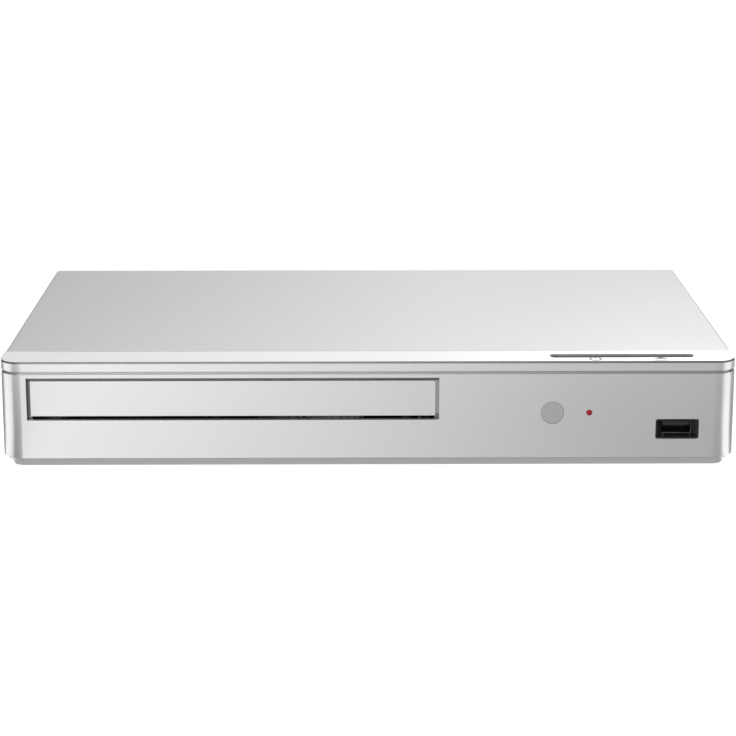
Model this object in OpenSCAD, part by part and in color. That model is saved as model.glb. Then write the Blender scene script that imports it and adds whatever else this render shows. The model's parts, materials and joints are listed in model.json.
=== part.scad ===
/* [Body] */
// Overall width
body_w = 312; // [309:1:340]
// Overall depth
body_d = 190; // [188:1:215]
// Overall height, feet to lid
body_h = 49; // [48.5:0.5:56]
// Height of the feet under the base
foot_drop = 1.5; // [1:0.1:2.5]
// Plan radius of the front corners
corner_r = 9; // [8:0.5:11]
// Depth of the front moulding, front to back
front_depth = 14; // [13:0.5:16]
// Rise of the sloped edge in front of the cover
bevel_rise = 1.2; // [1:0.1:2]
// Wall of the front mouldings
wall = 2.5; // [2:0.1:2.8]
// Thickness of the cover sheet
cover_t = 0.8; // [0.6:0.1:1]
// Thickness of the base sheet
base_t = 1; // [0.8:0.1:1.2]
// Step in from the front moulding to the cover on each side
cover_inset = 0.6; // [0.5:0.1:2]
// Radius of the long bends of the cover
cover_bend = 1.6; // [1.2:0.1:2.5]

/* [Front panel] */
// Height of the strip above the groove
strip_h = 4.3; // [4.1:0.1:4.4]
// Height of the groove
groove_h = 1.3; // [0.8:0.1:1.4]
// Depth of the groove
groove_d = 1.4; // [1:0.1:1.5]
// Chamfer round the foot of the panel
chamfer = 4.2; // [3:0.1:5]
// Depth of the ledge between the panel's face and the chamfer
foot_ledge = 2; // [1:0.1:2.4]
// Width of the tray opening
opening_w = 174.6; // [172:0.1:176]
// Height of the tray opening
opening_h = 18.4; // [18:0.1:18.6]
// Distance from the left side to the tray opening
opening_side = 11.3; // [11:0.1:13]
// Height of the opening's sill over the base
sill = 20.8; // [20.5:0.1:21]
// Gap round the tray door
door_gap = 1.6; // [1:0.1:1.8]
// How far the door sits back from the panel
door_recess = 1.2; // [0.8:0.1:1.6]
// Thickness of the tray door
door_t = 2.2; // [1.8:0.1:2.4]
// Radius of the remote control window
window_r = 4.9; // [4:0.1:5.5]
// Radius of the power lamp
lamp_r = 1.3; // [1:0.1:2]
// Height of the window and the lamp over the base
window_h = 23.8; // [22:0.1:25]
// Width of the socket bezel
bezel_w = 18.4; // [18:0.1:20]
// Height of the socket bezel
bezel_h = 8.7; // [8.4:0.1:9.5]
// Length of the key slot
slot_l = 61.3; // [56:0.1:64]
// Width of the key slot
slot_w = 4.9; // [4.5:0.1:5.2]
// Travel of a key
key_travel = 0.4; // [0.3:0.05:0.5]

/* [Loader] */
// Diameter of the disc
disc_d = 120; // [118:1:120]
// Distance from the front to the spindle
spindle_in = 71; // [71:0.5:73]
// Half width of the tray
tray_half = 71.2; // [70.5:0.1:71.3]
// Height of the tray
tray_h = 7.2; // [6.8:0.1:7.4]
// Length of the tray
tray_l = 171.6; // [168:0.1:172]
// Angle by which the traverse drops for the tray to pass
drop_angle = 6; // [5.8:0.1:6.2]
// Gear module
gear_m = 1; // [1:0.1:1]
// Teeth of the tray gear
tray_teeth = 26; // [26:2:26]
// Teeth of the pinion on the pulley
pinion_teeth = 12; // [12:1:12]
// Pressure angle of the teeth
press_angle = 20; // [20:1:20]
// Radius of the belt groove in the pulley
pulley_r = 13; // [12:0.1:13.5]
// Radius of the belt groove on the motor
motor_pulley_r = 3; // [2.5:0.1:3.5]
// Running clearance of a shaft in its bore
run_fit = 0.06; // [0.03:0.01:0.09]

/* [Electronics] */
// Thickness of the boards
pcb_t = 1.6; // [1.2:0.1:1.6]
// Height of the boards over the base sheet
pcb_lift = 5.5; // [5:0.1:6]
// Width of the power board
power_board_w = 56; // [54:1:58]
// Length of the power board
power_board_l = 78; // [76:1:90]
// Length of the main board
main_board_l = 128; // [120:1:132]

/* [Hidden] */
$fn = 64;

// Colours
silver = [0.8, 0.8, 0.81];
silver_light = [0.86, 0.86, 0.87];
steel = [0.66, 0.67, 0.69];
black = [0.08, 0.08, 0.09];
dark_grey = [0.25, 0.25, 0.27];
rubber = [0.12, 0.12, 0.12];
grey_window = [0.62, 0.62, 0.63];
lamp_red = [0.75, 0.05, 0.12];
board_green = [0.1, 0.38, 0.2];
plastic_grey = [0.5, 0.5, 0.52];
white_plastic = [0.88, 0.87, 0.84];
brass = [0.78, 0.62, 0.3];
yellow = [0.85, 0.7, 0.2];
lens_blue = [0.7, 0.8, 0.9];
film_white = [0.85, 0.85, 0.85];
board_brown = [0.55, 0.42, 0.2];
wire_white = [0.8, 0.8, 0.78];

// Overrun of a cut past a face, and the gap between pieces that only rest together
over = 1;
fit_gap = 0.2;

// Main planes
half_w = body_w / 2;
front_y = -body_d / 2;
screw_head_h = 1;
cover_rear_y = body_d / 2 - screw_head_h;
floor_z = foot_drop;
deck_z = floor_z + base_t;
edge_z = body_h - bevel_rise;
trim_z = edge_z - strip_h;
panel_top_z = trim_z - groove_h;
cover_y = front_y + front_depth;
cover_half = half_w - cover_inset;
cover_under_z = body_h - cover_t;
panel_in_y = front_y + wall;
path_half = half_w - corner_r;
path_y = front_y + corner_r;

// Tray opening and door
opening_x = -half_w + opening_side + opening_w / 2;
sill_z = floor_z + sill;
lintel_z = sill_z + opening_h;
door_w = opening_w - 2 * door_gap;
door_h = opening_h - 2 * door_gap;
door_y = front_y + door_recess;
door_z = sill_z + door_gap;

// Front panel details, from the right side and the base
window_side = 78;
lamp_side = 62.4;
jack_side = 24.9;
slot_side = 48.35;
jack_up = 16.55;
slot_back = 7.2;
window_x = half_w - window_side;
lamp_x = half_w - lamp_side;
jack_x = half_w - jack_side;
slot_x = half_w - slot_side;
slot_y = front_y + slot_back;
window_z = floor_z + window_h;
jack_z = floor_z + jack_up;
bezel_corner = 1;

// Rim shapes
shadow_line_h = 0.8;
shadow_line_d = 1;
shadow_line_drop = 0.12;
flange_t = 1.8;
lip_depth = 4;
lip_t = 1;
shelf_rise = 0.3;
edge_round = 0.4;

// Loader positions
loader_x = opening_x;
spindle_y = front_y + spindle_in;
tray_y = door_y + door_t;
sill_clear = 1.1;
rack_drop = 3.4;
tray_z = sill_z + sill_clear + rack_drop;
tray_top_z = tray_z + tray_h;
tray_travel = spindle_in + disc_d / 2;
frame_t = 3;
frame_gap = 0.8;
frame_in = tray_half + frame_gap;
frame_half = frame_in + frame_t;
frame_back = 6;
frame_front = 11;
frame_y = front_y + frame_front;
frame_rear_y = tray_y + tray_l + frame_back;
frame_top = 11;
frame_top_z = tray_z + frame_top;
frame_foot = 5.5;
frame_z = deck_z + frame_foot;
deck_drop = 13;
gear_deck_z = tray_z - deck_drop;
gear_deck_t = 2;
gear_deck_l = 29.6;
gear_deck_top = gear_deck_z + gear_deck_t;
ledge_t = 2;
ledge_w = 3;
rail_gap = 0.3;

// Tray shapes
recess_rim = 0.8;
recess_r = disc_d / 2 + recess_rim;
recess_depth = 4;
inner_recess_r = 40.8;
inner_recess_depth = 1.2;
tray_skin = 1.8;
window_half = 14;
window_back = 66;
spindle_hole_r = 17.5;
rail_w = 3.4;
finger_r = 14;

// Gears
tray_gear_r = gear_m * tray_teeth / 2;
pinion_r = gear_m * pinion_teeth / 2;
addendum = 0.95 * gear_m;
dedendum = 1.2 * gear_m;
mesh_slack = 0.12;
rack_back = 4;
rack_x = 56;
rack_body_x = loader_x + rack_x + dedendum;
tray_gear_x = loader_x + rack_x - tray_gear_r;
gear_in = 26;
gear_y = front_y + gear_in;
pulley_x = tray_gear_x - tray_gear_r - pinion_r;
motor_span = 32;
motor_x = pulley_x - motor_span;
rack_lead = 7;
rack_y0 = gear_y - rack_lead;
rack_y1 = gear_y + tray_travel + rack_lead;
gear_top_gap = 0.4;
gear_top_z = tray_z - gear_top_gap;
rack_z = tray_z - rack_drop;
pulley_flange = 1;
pulley_lip_t = 0.4;
pulley_belt_t = 1.2;
pulley_z = gear_deck_top + fit_gap;
pulley_h = pulley_belt_t + 2 * pulley_lip_t;
tray_gear_z = pulley_z + pulley_h + fit_gap;
pinion_top_z = rack_z - fit_gap;
post_r = 2;
motor_shaft_r = 0.75;
motor_can_r = 12;
motor_gap = 0.5;
belt_t = 1;
belt_gap = 0.08;

// Traverse, drawn level and then dropped
pivot_back = 86;
pivot_drop = 7;
pivot_y = spindle_y + pivot_back;
pivot_z = tray_z - pivot_drop;
pivot_pin_r = 2;
trav_half = 52;
trav_t = 2;
trav_front = 26;
trav_back = 88;
trav_y0 = spindle_y - trav_front;
trav_y1 = spindle_y + trav_back;
trav_top_z = pivot_z + trav_t;
disc_rise = 5;
disc_z = tray_z + disc_rise;
table_r = 15;
table_t = 1.6;
rotor_r = 13.5;
rotor_gap = 0.4;
motor_base_t = 1.2;
cone_r = 7.4;
cone_h = 2.2;
shaft_r = 0.8;
rod_r = 1.5;
rod_x = 31;
rod_lift = 1.7;
rod_front = 13;
rod_back = 80;
rod_z = trav_top_z + rod_lift;
rod_y0 = spindle_y + rod_front;
rod_y1 = spindle_y + rod_back;
lens_home = 24;
lens_y = spindle_y + lens_home;
pickup_half_w = 24;
pickup_front = 9;
pickup_back = 17;
pickup_top_gap = 0.6;
pickup_h = 9;
pickup_top_z = tray_z - pickup_top_gap;
pickup_z = pickup_top_z - pickup_h;
screw_x = 40;
screw_drop = 4.6;
screw_z = tray_z - screw_drop;
screw_core_r = 1.2;
screw_crest = 0.3;
screw_lead = 3;
feed_can_r = 4;
feed_can_l = 12;
screw_front = 16;
screw_back = 68;
screw_y0 = spindle_y + screw_front;
screw_y1 = spindle_y + screw_back;
bay_x0 = 36;
bay_x1 = 46;
bay_front = 14;
bay_y0 = spindle_y + bay_front;
bay_y1 = spindle_y + rod_back;
cam_pin_x = 20;
cam_pin_r = 1.5;
cam_run = 26;
cam_slot_gap = 0.45;
cam_plate_t = 2;
cam_pin_l = 3.6;
cam_plate_y = trav_y0 - cam_pin_l;

// Clamper
bridge_t = 1;
bridge_l = 36;
bridge_z = frame_top_z;
clamp_r = 15;
clamp_boss_r = 11.5;
clamp_hole_r = 12.5;
clamp_disc_t = 1.6;
clamp_gap = 1.1;
clamp_z = tray_top_z + clamp_gap;
magnet_r = 8;
magnet_t = 2;
cap_r = 14.5;
cap_t = 1.4;

// Boards
pcb_z = deck_z + pcb_lift;
pcb_top = pcb_z + pcb_t;
rear_in_y = cover_rear_y - 2 * cover_t;
board_gap = 1.6;
power_side = 8;
main_side = 4.4;
mid_gap = 6;
front_board_in = 12;
front_board_left = 94;
front_board_right = 8;
front_board_up = 2.5;
board_rear_y = rear_in_y - board_gap;
power_x1 = half_w - power_side;
power_x0 = power_x1 - power_board_w;
main_x0 = loader_x + frame_half + main_side;
main_x1 = power_x0 - mid_gap;
front_board_y = front_y + front_board_in;
front_board_x0 = half_w - front_board_left;
front_board_x1 = half_w - front_board_right;
front_board_z0 = deck_z + front_board_up;
front_board_h = 31;
front_board_z1 = front_board_z0 + front_board_h;

// Box between two corners
module block(low, high) {
    translate(low) cube(high - low);
}

// Upright cylinder from one height to another
module post(x, y, z0, z1, r) {
    translate([x, y, z0]) cylinder(h = z1 - z0, r = r);
}

// Cylinder along Y
module rod_along_y(x, z, y0, y1, r) {
    translate([x, y0, z]) rotate([-90, 0, 0]) cylinder(h = y1 - y0, r = r);
}

// Cylinder along X
module rod_along_x(y, z, x0, x1, r) {
    translate([x0, y, z]) rotate([0, 90, 0]) cylinder(h = x1 - x0, r = r);
}

// Flat rectangle with round corners, centred
module round_rect(w, h, r) {
    square([w - 2 * r, h], center = true);
    square([w, h - 2 * r], center = true);
    for (sx = [-1, 1], sy = [-1, 1])
        translate([sx * (w / 2 - r), sy * (h / 2 - r)]) circle(r);
}

// Outline in X and Z extruded along Y
module along_y(y0, y1) {
    translate([0, y1, 0]) rotate([90, 0, 0]) linear_extrude(y1 - y0) children();
}

// Outline in Y and Z extruded along X
module along_x(x0, x1) {
    translate([x0, 0, 0]) rotate([90, 0, 90]) linear_extrude(x1 - x0) children();
}

// Sweeps an outline of reach and height round the front: side, corner, front, corner, side
module rim(rear_y) {
    along_x(-path_half, path_half) translate([path_y, 0]) mirror([1, 0]) children();
    for (side = [0, 1]) mirror([side, 0, 0]) {
        translate([path_half, path_y, 0]) rotate([0, 0, -90]) rotate_extrude(angle = 90) children();
        along_y(path_y, rear_y) translate([path_half, 0]) children();
    }
}

// Outline of the body seen from above, grown by a margin, from the front to a given depth
module plan_outline(margin, rear_y) {
    for (side = [-1, 1]) translate([side * path_half, path_y]) circle(corner_r + margin);
    translate([-path_half, front_y - margin])
        square([2 * path_half, corner_r + margin]);
    translate([-half_w - margin, path_y])
        square([body_w + 2 * margin, rear_y - path_y]);
}

// Rim outlines
module panel_outline() {
    polygon([
        [corner_r - chamfer, floor_z],
        [corner_r - foot_ledge, floor_z + chamfer],
        [corner_r, floor_z + chamfer],
        [corner_r, panel_top_z],
        [corner_r - groove_d, panel_top_z],
        [corner_r - groove_d, lintel_z + shelf_rise],
        [corner_r - wall, lintel_z + shelf_rise],
        [corner_r - wall, floor_z + chamfer + foot_ledge],
        [corner_r - chamfer - flange_t / 2, floor_z + flange_t],
        [0, floor_z + flange_t],
        [0, floor_z]
    ]);
}

module front_panel() {
    flange_y = cover_y + fit_gap;
    stop_gap = 0.3;
    stop_t = 1.2;
    stop_w = 0.2;
    color(silver) difference() {
        union() {
            rim(cover_y - fit_gap) panel_outline();
            block([-path_half, path_y - over, floor_z],
                [path_half, flange_y - fit_gap * 2, floor_z + flange_t]);
            front_bosses();
            block([opening_x - opening_w / 2 - wall, panel_in_y - over, sill_z],
                [opening_x + opening_w / 2 + wall, tray_y + stop_gap + stop_t, lintel_z]);
        }
        block([opening_x - opening_w / 2, front_y - over, sill_z],
            [opening_x + opening_w / 2, tray_y + stop_gap, lintel_z]);
        block([opening_x - door_w / 2 + stop_w, front_y - over, sill_z],
            [opening_x + door_w / 2 - stop_w, path_y, door_z + door_h - stop_w]);
        translate([window_x, front_y - over, window_z]) rotate([-90, 0, 0])
            cylinder(h = wall + 2 * over, r = window_r);
        translate([lamp_x, front_y - over, window_z]) rotate([-90, 0, 0])
            cylinder(h = wall + 2 * over, r = lamp_r);
        translate([jack_x, 0, jack_z]) along_y(front_y - over, panel_in_y + over)
            round_rect(bezel_w, bezel_h, bezel_corner);
        for (x = panel_screw_x) post(x, panel_screw_y, floor_z - over, floor_z + flange_t + over, screw_r);
        for (p = front_board_bosses)
            rod_along_y(p.x, p.y, panel_in_y + wall, front_board_y + over, screw_core);
    }
}

// Screws through the panel's flange and the base's tongue
screw_r = 1.5;
screw_core = 1.1;
panel_screw_share = 0.9;
panel_tab_half = 7;
panel_screw_x = [-half_w * panel_screw_share, 0, half_w * panel_screw_share];
panel_screw_in = 11;
panel_screw_y = front_y + panel_screw_in;

// Bosses behind the panel that carry the front board
boss_r = 2.8;
boss_edge = 4;
boss_side_up = 25;
front_board_bosses = [
    [front_board_x0 + boss_edge, front_board_z0 + boss_edge],
    [front_board_x1 - boss_edge, front_board_z0 + boss_side_up]
];

module front_bosses() {
    for (p = front_board_bosses)
        rod_along_y(p.x, p.y, panel_in_y - wall / 2, front_board_y, boss_r);
}

module top_trim() {
    bevel_cut = wall;
    slot_cut = 6;
    color(silver_light) difference() {
        union() {
            intersection() {
                translate([0, 0, trim_z]) linear_extrude(body_h - trim_z)
                    plan_outline(0, cover_y - fit_gap);
                along_x(-half_w, half_w) polygon([
                    [front_y, trim_z], [front_y, edge_z - edge_round],
                    [front_y + edge_round, edge_z], [cover_y, body_h], [cover_y, trim_z]
                ]);
                along_y(front_y, cover_y) trim_end_outline(0);
            }
            intersection() {
                translate([0, 0, lintel_z + shelf_rise])
                    linear_extrude(trim_z - lintel_z) plan_outline(-groove_d, cover_y - fit_gap);
                block([-half_w, front_y, lintel_z], [half_w, cover_y - fit_gap, trim_z + over]);
            }
            block([-cover_half + lip_depth, cover_y - lip_depth, cover_under_z - fit_gap / 2 - lip_t],
                [cover_half - lip_depth, cover_y + lip_depth, cover_under_z - fit_gap / 2]);
        }
        intersection() {
            translate([0, 0, lintel_z]) linear_extrude(body_h - lintel_z)
                plan_outline(-wall, cover_y + over);
            along_x(-half_w, half_w) polygon([
                [front_y, lintel_z], [front_y, edge_z - bevel_cut],
                    [cover_y, cover_under_z - lip_t - fit_gap],
                [cover_y, lintel_z]
            ]);
        }
        rim(cover_y + over) translate([corner_r - shadow_line_d, edge_z - shadow_line_drop - shadow_line_h])
            square([shadow_line_d + over, shadow_line_h]);
        translate([slot_x, slot_y, edge_z - slot_cut]) linear_extrude(slot_cut * 2)
            key_slot_outline(0);
    }
}

// Trim seen from the front, with its top edges rounded where it meets the cover
module trim_end_outline(margin) {
    translate([-half_w, lintel_z - over]) square([body_w, body_h - lintel_z + over - cover_bend]);
    translate([-half_w + cover_bend, lintel_z]) square([body_w - 2 * cover_bend, body_h - lintel_z]);
    for (side = [-1, 1])
        translate([side * (half_w - cover_bend), body_h - cover_bend]) circle(cover_bend + margin);
}

module key_slot_outline(inset) {
    r = slot_w / 2 - inset;
    square([slot_l - slot_w, 2 * r], center = true);
    for (side = [-1, 1]) translate([side * (slot_l / 2 - slot_w / 2), 0]) circle(r);
}

module top_cover() {
    lip_drop = 6;
    side_foot = 0.6;
    color(silver) difference() {
        union() {
            along_y(cover_y, cover_rear_y) difference() {
                cover_outline(cover_half, body_h, cover_bend);
                cover_outline(cover_half - cover_t, cover_under_z, cover_bend - cover_t);
                translate([-half_w, 0]) square([body_w, floor_z + side_foot]);
            }
            block([-cover_half + cover_bend, cover_rear_y - cover_t, body_h - lip_drop],
                [cover_half - cover_bend, cover_rear_y, body_h - cover_t / 2]);
        }
        for (x = rear_screw_x)
            rod_along_y(x, rear_screw_z, cover_rear_y - cover_t - over, cover_rear_y + over, screw_r);
        for (side = [-1, 1])
            rod_along_x(side_screw_y, side_screw_z, side * cover_half - over, side * cover_half + over,
                screw_r);
    }
}

// Section of the cover: flat top, upright sides and rounded bends, open below
module cover_outline(half, top, r) {
    square_h = top - r;
    translate([-half, 0]) square([2 * half, square_h]);
    translate([-half + r, square_h - over]) square([2 * (half - r), r + over]);
    for (side = [-1, 1]) translate([side * (half - r), square_h]) circle(r);
}

// Screws that hold the cover
rear_screw_share = 0.86;
rear_screw_x = [-cover_half * rear_screw_share, 0, cover_half * rear_screw_share];
rear_screw_down = 3.4;
rear_screw_z = body_h - rear_screw_down;
side_screw_up = 7;
side_screw_z = floor_z + side_screw_up;
side_screw_y = 15;
screw_head_r = 2.9;
screw_len = 5;
side_head_h = cover_inset;
drive_r = 1.5;
drive_w = 0.7;

// A screw along +Z whose head's underside is at z = 0
module screw(head_h, length) {
    difference() {
        cylinder(h = head_h, r = screw_head_r);
        for (a = [0, 90]) rotate([0, 0, a])
            translate([-drive_r, -drive_w / 2, head_h / 2]) cube([2 * drive_r, drive_w, head_h]);
    }
    translate([0, 0, -length]) cylinder(h = length + head_h / 4, r = screw_core);
}

module cover_screws() {
    color(steel) {
        for (x = rear_screw_x)
            translate([x, cover_rear_y, rear_screw_z]) rotate([-90, 0, 0]) screw(screw_head_h, screw_len);
        for (side = [-1, 1])
            translate([side * cover_half, side_screw_y, side_screw_z]) rotate([0, side * 90, 0])
                screw(side_head_h, screw_len);
    }
}

// Base sheet with a raised tongue over the panel's flange and turned-up sides
side_flange_h = 12;
base_half = cover_half - cover_t - fit_gap / 2;
tongue_in = 6;
tongue_y0 = front_y + tongue_in;
tongue_z = floor_z + flange_t;
vent_count = 14;
vent_w = 2.4;
vent_l = 16;
vent_pitch = 6;
standoff_r = 3;

module base_plate() {
    step_y = cover_y;
    color(steel) difference() {
        union() {
            block([-base_half, step_y, floor_z], [base_half, rear_in_y - fit_gap, deck_z]);
            for (x = panel_screw_x) translate([x, 0, 0]) {
                block([-panel_tab_half, step_y, floor_z],
                    [panel_tab_half, step_y + base_t, tongue_z + base_t]);
                block([-panel_tab_half, tongue_y0, tongue_z],
                    [panel_tab_half, step_y + base_t, tongue_z + base_t]);
            }
            for (side = [0, 1]) mirror([side, 0, 0])
                block([base_half - base_t, step_y + over, floor_z],
                    [base_half, rear_in_y - fit_gap, floor_z + side_flange_h]);
            for (p = board_posts) post(p.x, p.y, deck_z - base_t / 2, pcb_z, standoff_r);
        }
        for (p = board_posts) post(p.x, p.y, deck_z, pcb_z + over, screw_core);
        for (p = frame_feet) post(p.x, p.y, floor_z - over, deck_z + over, screw_core + fit_gap);
        for (x = panel_screw_x)
            post(x, panel_screw_y, tongue_z - over, tongue_z + base_t + over, screw_core + fit_gap);
        for (side = [-1, 1])
            rod_along_x(side_screw_y, side_screw_z, side * base_half - 2 * base_t,
                side * base_half + 2 * base_t,
                screw_core + fit_gap);
        for (i = [0 : vent_count - 1])
            translate([(main_x0 + main_x1) / 2 + (i - (vent_count - 1) / 2) * vent_pitch * vent_share, 0,
                0])
                block([-vent_w / 2, vent_y, floor_z - over], [vent_w / 2, vent_y + vent_l, deck_z + over]);
    }
}
vent_share = 0.75;
vent_y = spindle_y;

// Screw posts under the boards
post_edge = 5;
rear_post_in = 30;
board_posts = [
    [main_x0 + post_edge, board_rear_y - main_board_l + post_edge],
    [main_x1 - post_edge, board_rear_y - main_board_l + post_edge],
    [main_x0 + post_edge, board_rear_y - rear_post_in],
    [power_x0 + post_edge, board_rear_y - power_board_l + post_edge],
    [power_x1 - post_edge, board_rear_y - power_board_l + post_edge],
    [power_x0 + post_edge, board_rear_y - post_edge]
];

// Feet of the loader frame
foot_boss_r = 4.5;
foot_in = 8;
frame_feet = [for (sx = [-1, 1], y = [frame_y + foot_in, frame_rear_y - foot_in])
    [loader_x + sx * (frame_half - foot_boss_r), y]];

module rear_panel() {
    foot_l = 3;
    hole_gap = 0.5;
    slot_count = 16;
    slot_pitch = 5;
    slot_h = 16;
    slot_wide = 2.4;
    panel_half = base_half - base_t - fit_gap;
    color(steel) difference() {
        union() {
            block([-panel_half, rear_in_y, deck_z],
                [panel_half, rear_in_y + cover_t, cover_under_z - fit_gap]);
            block([-panel_half, rear_in_y - foot_l, deck_z],
                [panel_half, rear_in_y + cover_t, deck_z + cover_t]);
        }
        for (x = rear_screw_x)
            rod_along_y(x, rear_screw_z, rear_in_y - over, cover_rear_y, screw_core + fit_gap);
        for (p = [[video_x, video_w, video_h], [network_x, network_w, network_h]])
            block([p[0] - p[1] / 2 - hole_gap, rear_in_y - over, pcb_top - hole_gap],
                [p[0] + p[1] / 2 + hole_gap, cover_rear_y, pcb_top + p[2] + hole_gap]);
        block([inlet_x - inlet_w / 2, rear_in_y - over, inlet_z - inlet_h / 2],
            [inlet_x + inlet_w / 2, cover_rear_y, inlet_z + inlet_h / 2]);
        for (i = [0 : slot_count - 1])
            translate([loader_x + (i - (slot_count - 1) / 2) * slot_pitch, 0, 0])
                block([-slot_wide / 2, rear_in_y - over, slot_z],
                    [slot_wide / 2, cover_rear_y, slot_z + slot_h]);
    }
}
slot_z = body_h / 2;

// Rubber feet, glued on
foot_r = 8.5;
foot_edge_x = 15.5;
foot_front_in = 27;
foot_rear_in = 20;

module rubber_feet() {
    rim_w = 1.5;
    dish = 0.4;
    color(rubber) for (sx = [-1, 1], y = [front_y + foot_front_in, body_d / 2 - foot_rear_in])
        translate([sx * (half_w - foot_edge_x), y, 0]) difference() {
            cylinder(h = floor_z, r = foot_r);
            translate([0, 0, -over]) cylinder(h = over + dish, r = foot_r - 2 * rim_w);
        }
}

// Door on the tray's front
module tray_door() {
    hook_w = 10;
    hook_l = 5;
    hook_t = 1.6;
    face_edge = 0.5;
    color(silver_light) {
        translate([opening_x, 0, door_z + door_h / 2]) {
            along_y(door_y, tray_y) round_rect(door_w, door_h, face_edge);
            for (sx = [-1, 1]) translate([sx * (tray_half - hook_w), 0, 0])
                block([-hook_w / 2, tray_y, tray_top_z - door_z - door_h / 2],
                    [hook_w / 2, tray_y + hook_l, tray_top_z - door_z - door_h / 2 + hook_t]);
        }
    }
}

// Tray with its recesses for two sizes of disc, window for the traverse and rack below
module disc_tray() {
    floor_t = recess_depth + inner_recess_depth + tray_skin;
    apron = 3;
    color(dark_grey) difference() {
        union() {
            difference() {
                block([loader_x - tray_half, tray_y, tray_z],
                    [loader_x + tray_half, tray_y + tray_l, tray_top_z]);
                difference() {
                    block([loader_x - tray_half + rail_w, tray_y + apron, tray_z - over],
                        [loader_x + tray_half - rail_w, tray_y + tray_l - apron, tray_top_z - tray_skin]);
                    post(loader_x, spindle_y, tray_z - 2 * over, tray_top_z, recess_r + tray_skin);
                }
            }
            tray_rack();
        }
        post(loader_x, spindle_y, tray_top_z - recess_depth, tray_top_z + over, recess_r);
        post(loader_x, spindle_y, tray_top_z - recess_depth - inner_recess_depth, tray_top_z + over,
            inner_recess_r);
        post(loader_x, spindle_y, tray_z - over, tray_top_z + over, spindle_hole_r);
        block([loader_x - window_half, spindle_y, tray_z - over],
            [loader_x + window_half, spindle_y + window_back, tray_top_z + over]);
        for (sx = [-1, 1]) post(loader_x + sx * recess_r, spindle_y, tray_top_z - recess_depth,
            tray_top_z + over, finger_r / 2);
        difference() {
            post(loader_x, spindle_y, tray_z - over, tray_top_z - floor_t + tray_skin * under_share,
                recess_r);
            post(loader_x, spindle_y, tray_z - 2 * over, tray_top_z, inner_recess_r + tray_skin);
        }
    }
}
under_share = 0.7;

// Straight row of teeth under the tray's right side
module tray_rack() {
    pitch = PI * gear_m;
    tip = pitch / 4 - mesh_slack - addendum * tan(press_angle);
    root = pitch / 4 - mesh_slack + dedendum * tan(press_angle);
    teeth = floor((rack_y1 - rack_y0) / pitch);
    first = -floor((gear_y - rack_y0) / pitch);
    translate([0, 0, rack_z]) linear_extrude(rack_drop + tray_skin) union() {
        translate([rack_body_x, rack_y0]) square([rack_back, rack_y1 - rack_y0]);
        for (i = [first : first + teeth - 1])
            translate([loader_x + rack_x, gear_y + (i + 1 / 2) * pitch]) polygon([
                [-addendum, -tip], [-addendum, tip], [dedendum, root], [dedendum + over, root],
                [dedendum + over, -root], [dedendum, -root]
            ]);
    }
}

// Involute of the pressure angle, in degrees
function inv(a) = tan(a) * 180 / PI - a;
// Angle of a tooth's flank from its centre line, at a radius
function flank(teeth, rho) =
    let (rb = gear_m * teeth / 2 * cos(press_angle))
    90 / teeth - mesh_slack / (gear_m * teeth / 2) * 90 / PI
        + inv(press_angle) - inv(acos(min(1, rb / rho)));
function polar(r, a) = [r * cos(a), r * sin(a)];

// Gear with involute teeth, one centred on +X
module gear(teeth, height) {
    r = gear_m * teeth / 2;
    rb = r * cos(press_angle);
    ra = r + addendum;
    rf = r - dedendum;
    steps = 4;
    low = max(rb, rf);
    radii = [for (i = [0 : steps]) low + (ra - low) * i / steps];
    linear_extrude(height) polygon([for (t = [0 : teeth - 1]) each concat(
        [polar(rf, t * 360 / teeth - flank(teeth, low))],
        [for (i = [0 : steps]) polar(radii[i], t * 360 / teeth - flank(teeth, radii[i]))],
        [for (i = [steps : -1 : 0]) polar(radii[i], t * 360 / teeth + flank(teeth, radii[i]))],
        [polar(rf, t * 360 / teeth + flank(teeth, low))]
    )]);
}

module tray_gear() {
    color(white_plastic) translate([tray_gear_x, gear_y, tray_gear_z]) difference() {
        gear(tray_teeth, gear_top_z - tray_gear_z);
        translate([0, 0, -over]) cylinder(h = gear_top_z, r = post_r + run_fit);
        translate([0, 0, gear_top_z - tray_gear_z - over]) difference() {
            cylinder(h = 2 * over, r = tray_gear_r * web_outer_share);
            cylinder(h = 2 * over, r = post_r * 2);
        }
    }
}
web_outer_share = 0.8;

module pulley_gear() {
    color(white_plastic) translate([pulley_x, gear_y, pulley_z]) difference() {
        union() {
            cylinder(h = pulley_lip_t, r = pulley_r + pulley_flange);
            translate([0, 0, pulley_lip_t]) cylinder(h = pulley_belt_t, r = pulley_r);
            translate([0, 0, pulley_h - pulley_lip_t])
                cylinder(h = pulley_lip_t, r = pulley_r + pulley_flange);
            translate([0, 0, pulley_h - pulley_lip_t]) rotate([0, 0, 180 / pinion_teeth])
                gear(pinion_teeth, pinion_top_z - pulley_z - pulley_h + pulley_lip_t);
        }
        translate([0, 0, -over]) cylinder(h = gear_top_z, r = post_r + run_fit);
    }
}

module motor_pulley() {
    color(brass) translate([motor_x, gear_y, pulley_z]) difference() {
        union() {
            cylinder(h = pulley_lip_t, r = motor_pulley_r + pulley_flange);
            translate([0, 0, pulley_lip_t]) cylinder(h = pulley_belt_t, r = motor_pulley_r);
            translate([0, 0, pulley_h - pulley_lip_t])
                cylinder(h = pulley_lip_t, r = motor_pulley_r + pulley_flange);
        }
        translate([0, 0, -over]) cylinder(h = pulley_h + 2 * over, r = motor_shaft_r + run_fit / 2);
    }
}

// Square belt: two arcs and two straight runs tangent to both
module drive_belt() {
    big = pulley_r + belt_gap;
    small = motor_pulley_r + belt_gap;
    span = pulley_x - motor_x;
    lean = asin((big - small) / span);
    run = span * cos(lean);
    z0 = pulley_z + pulley_lip_t + belt_gap;
    color(black) translate([0, 0, z0]) linear_extrude(pulley_belt_t - 2 * belt_gap) {
        difference() {
            belt_loop(big + belt_t, small + belt_t, span, lean, run);
            belt_loop(big, small, span, lean, run);
        }
    }
}

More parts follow.
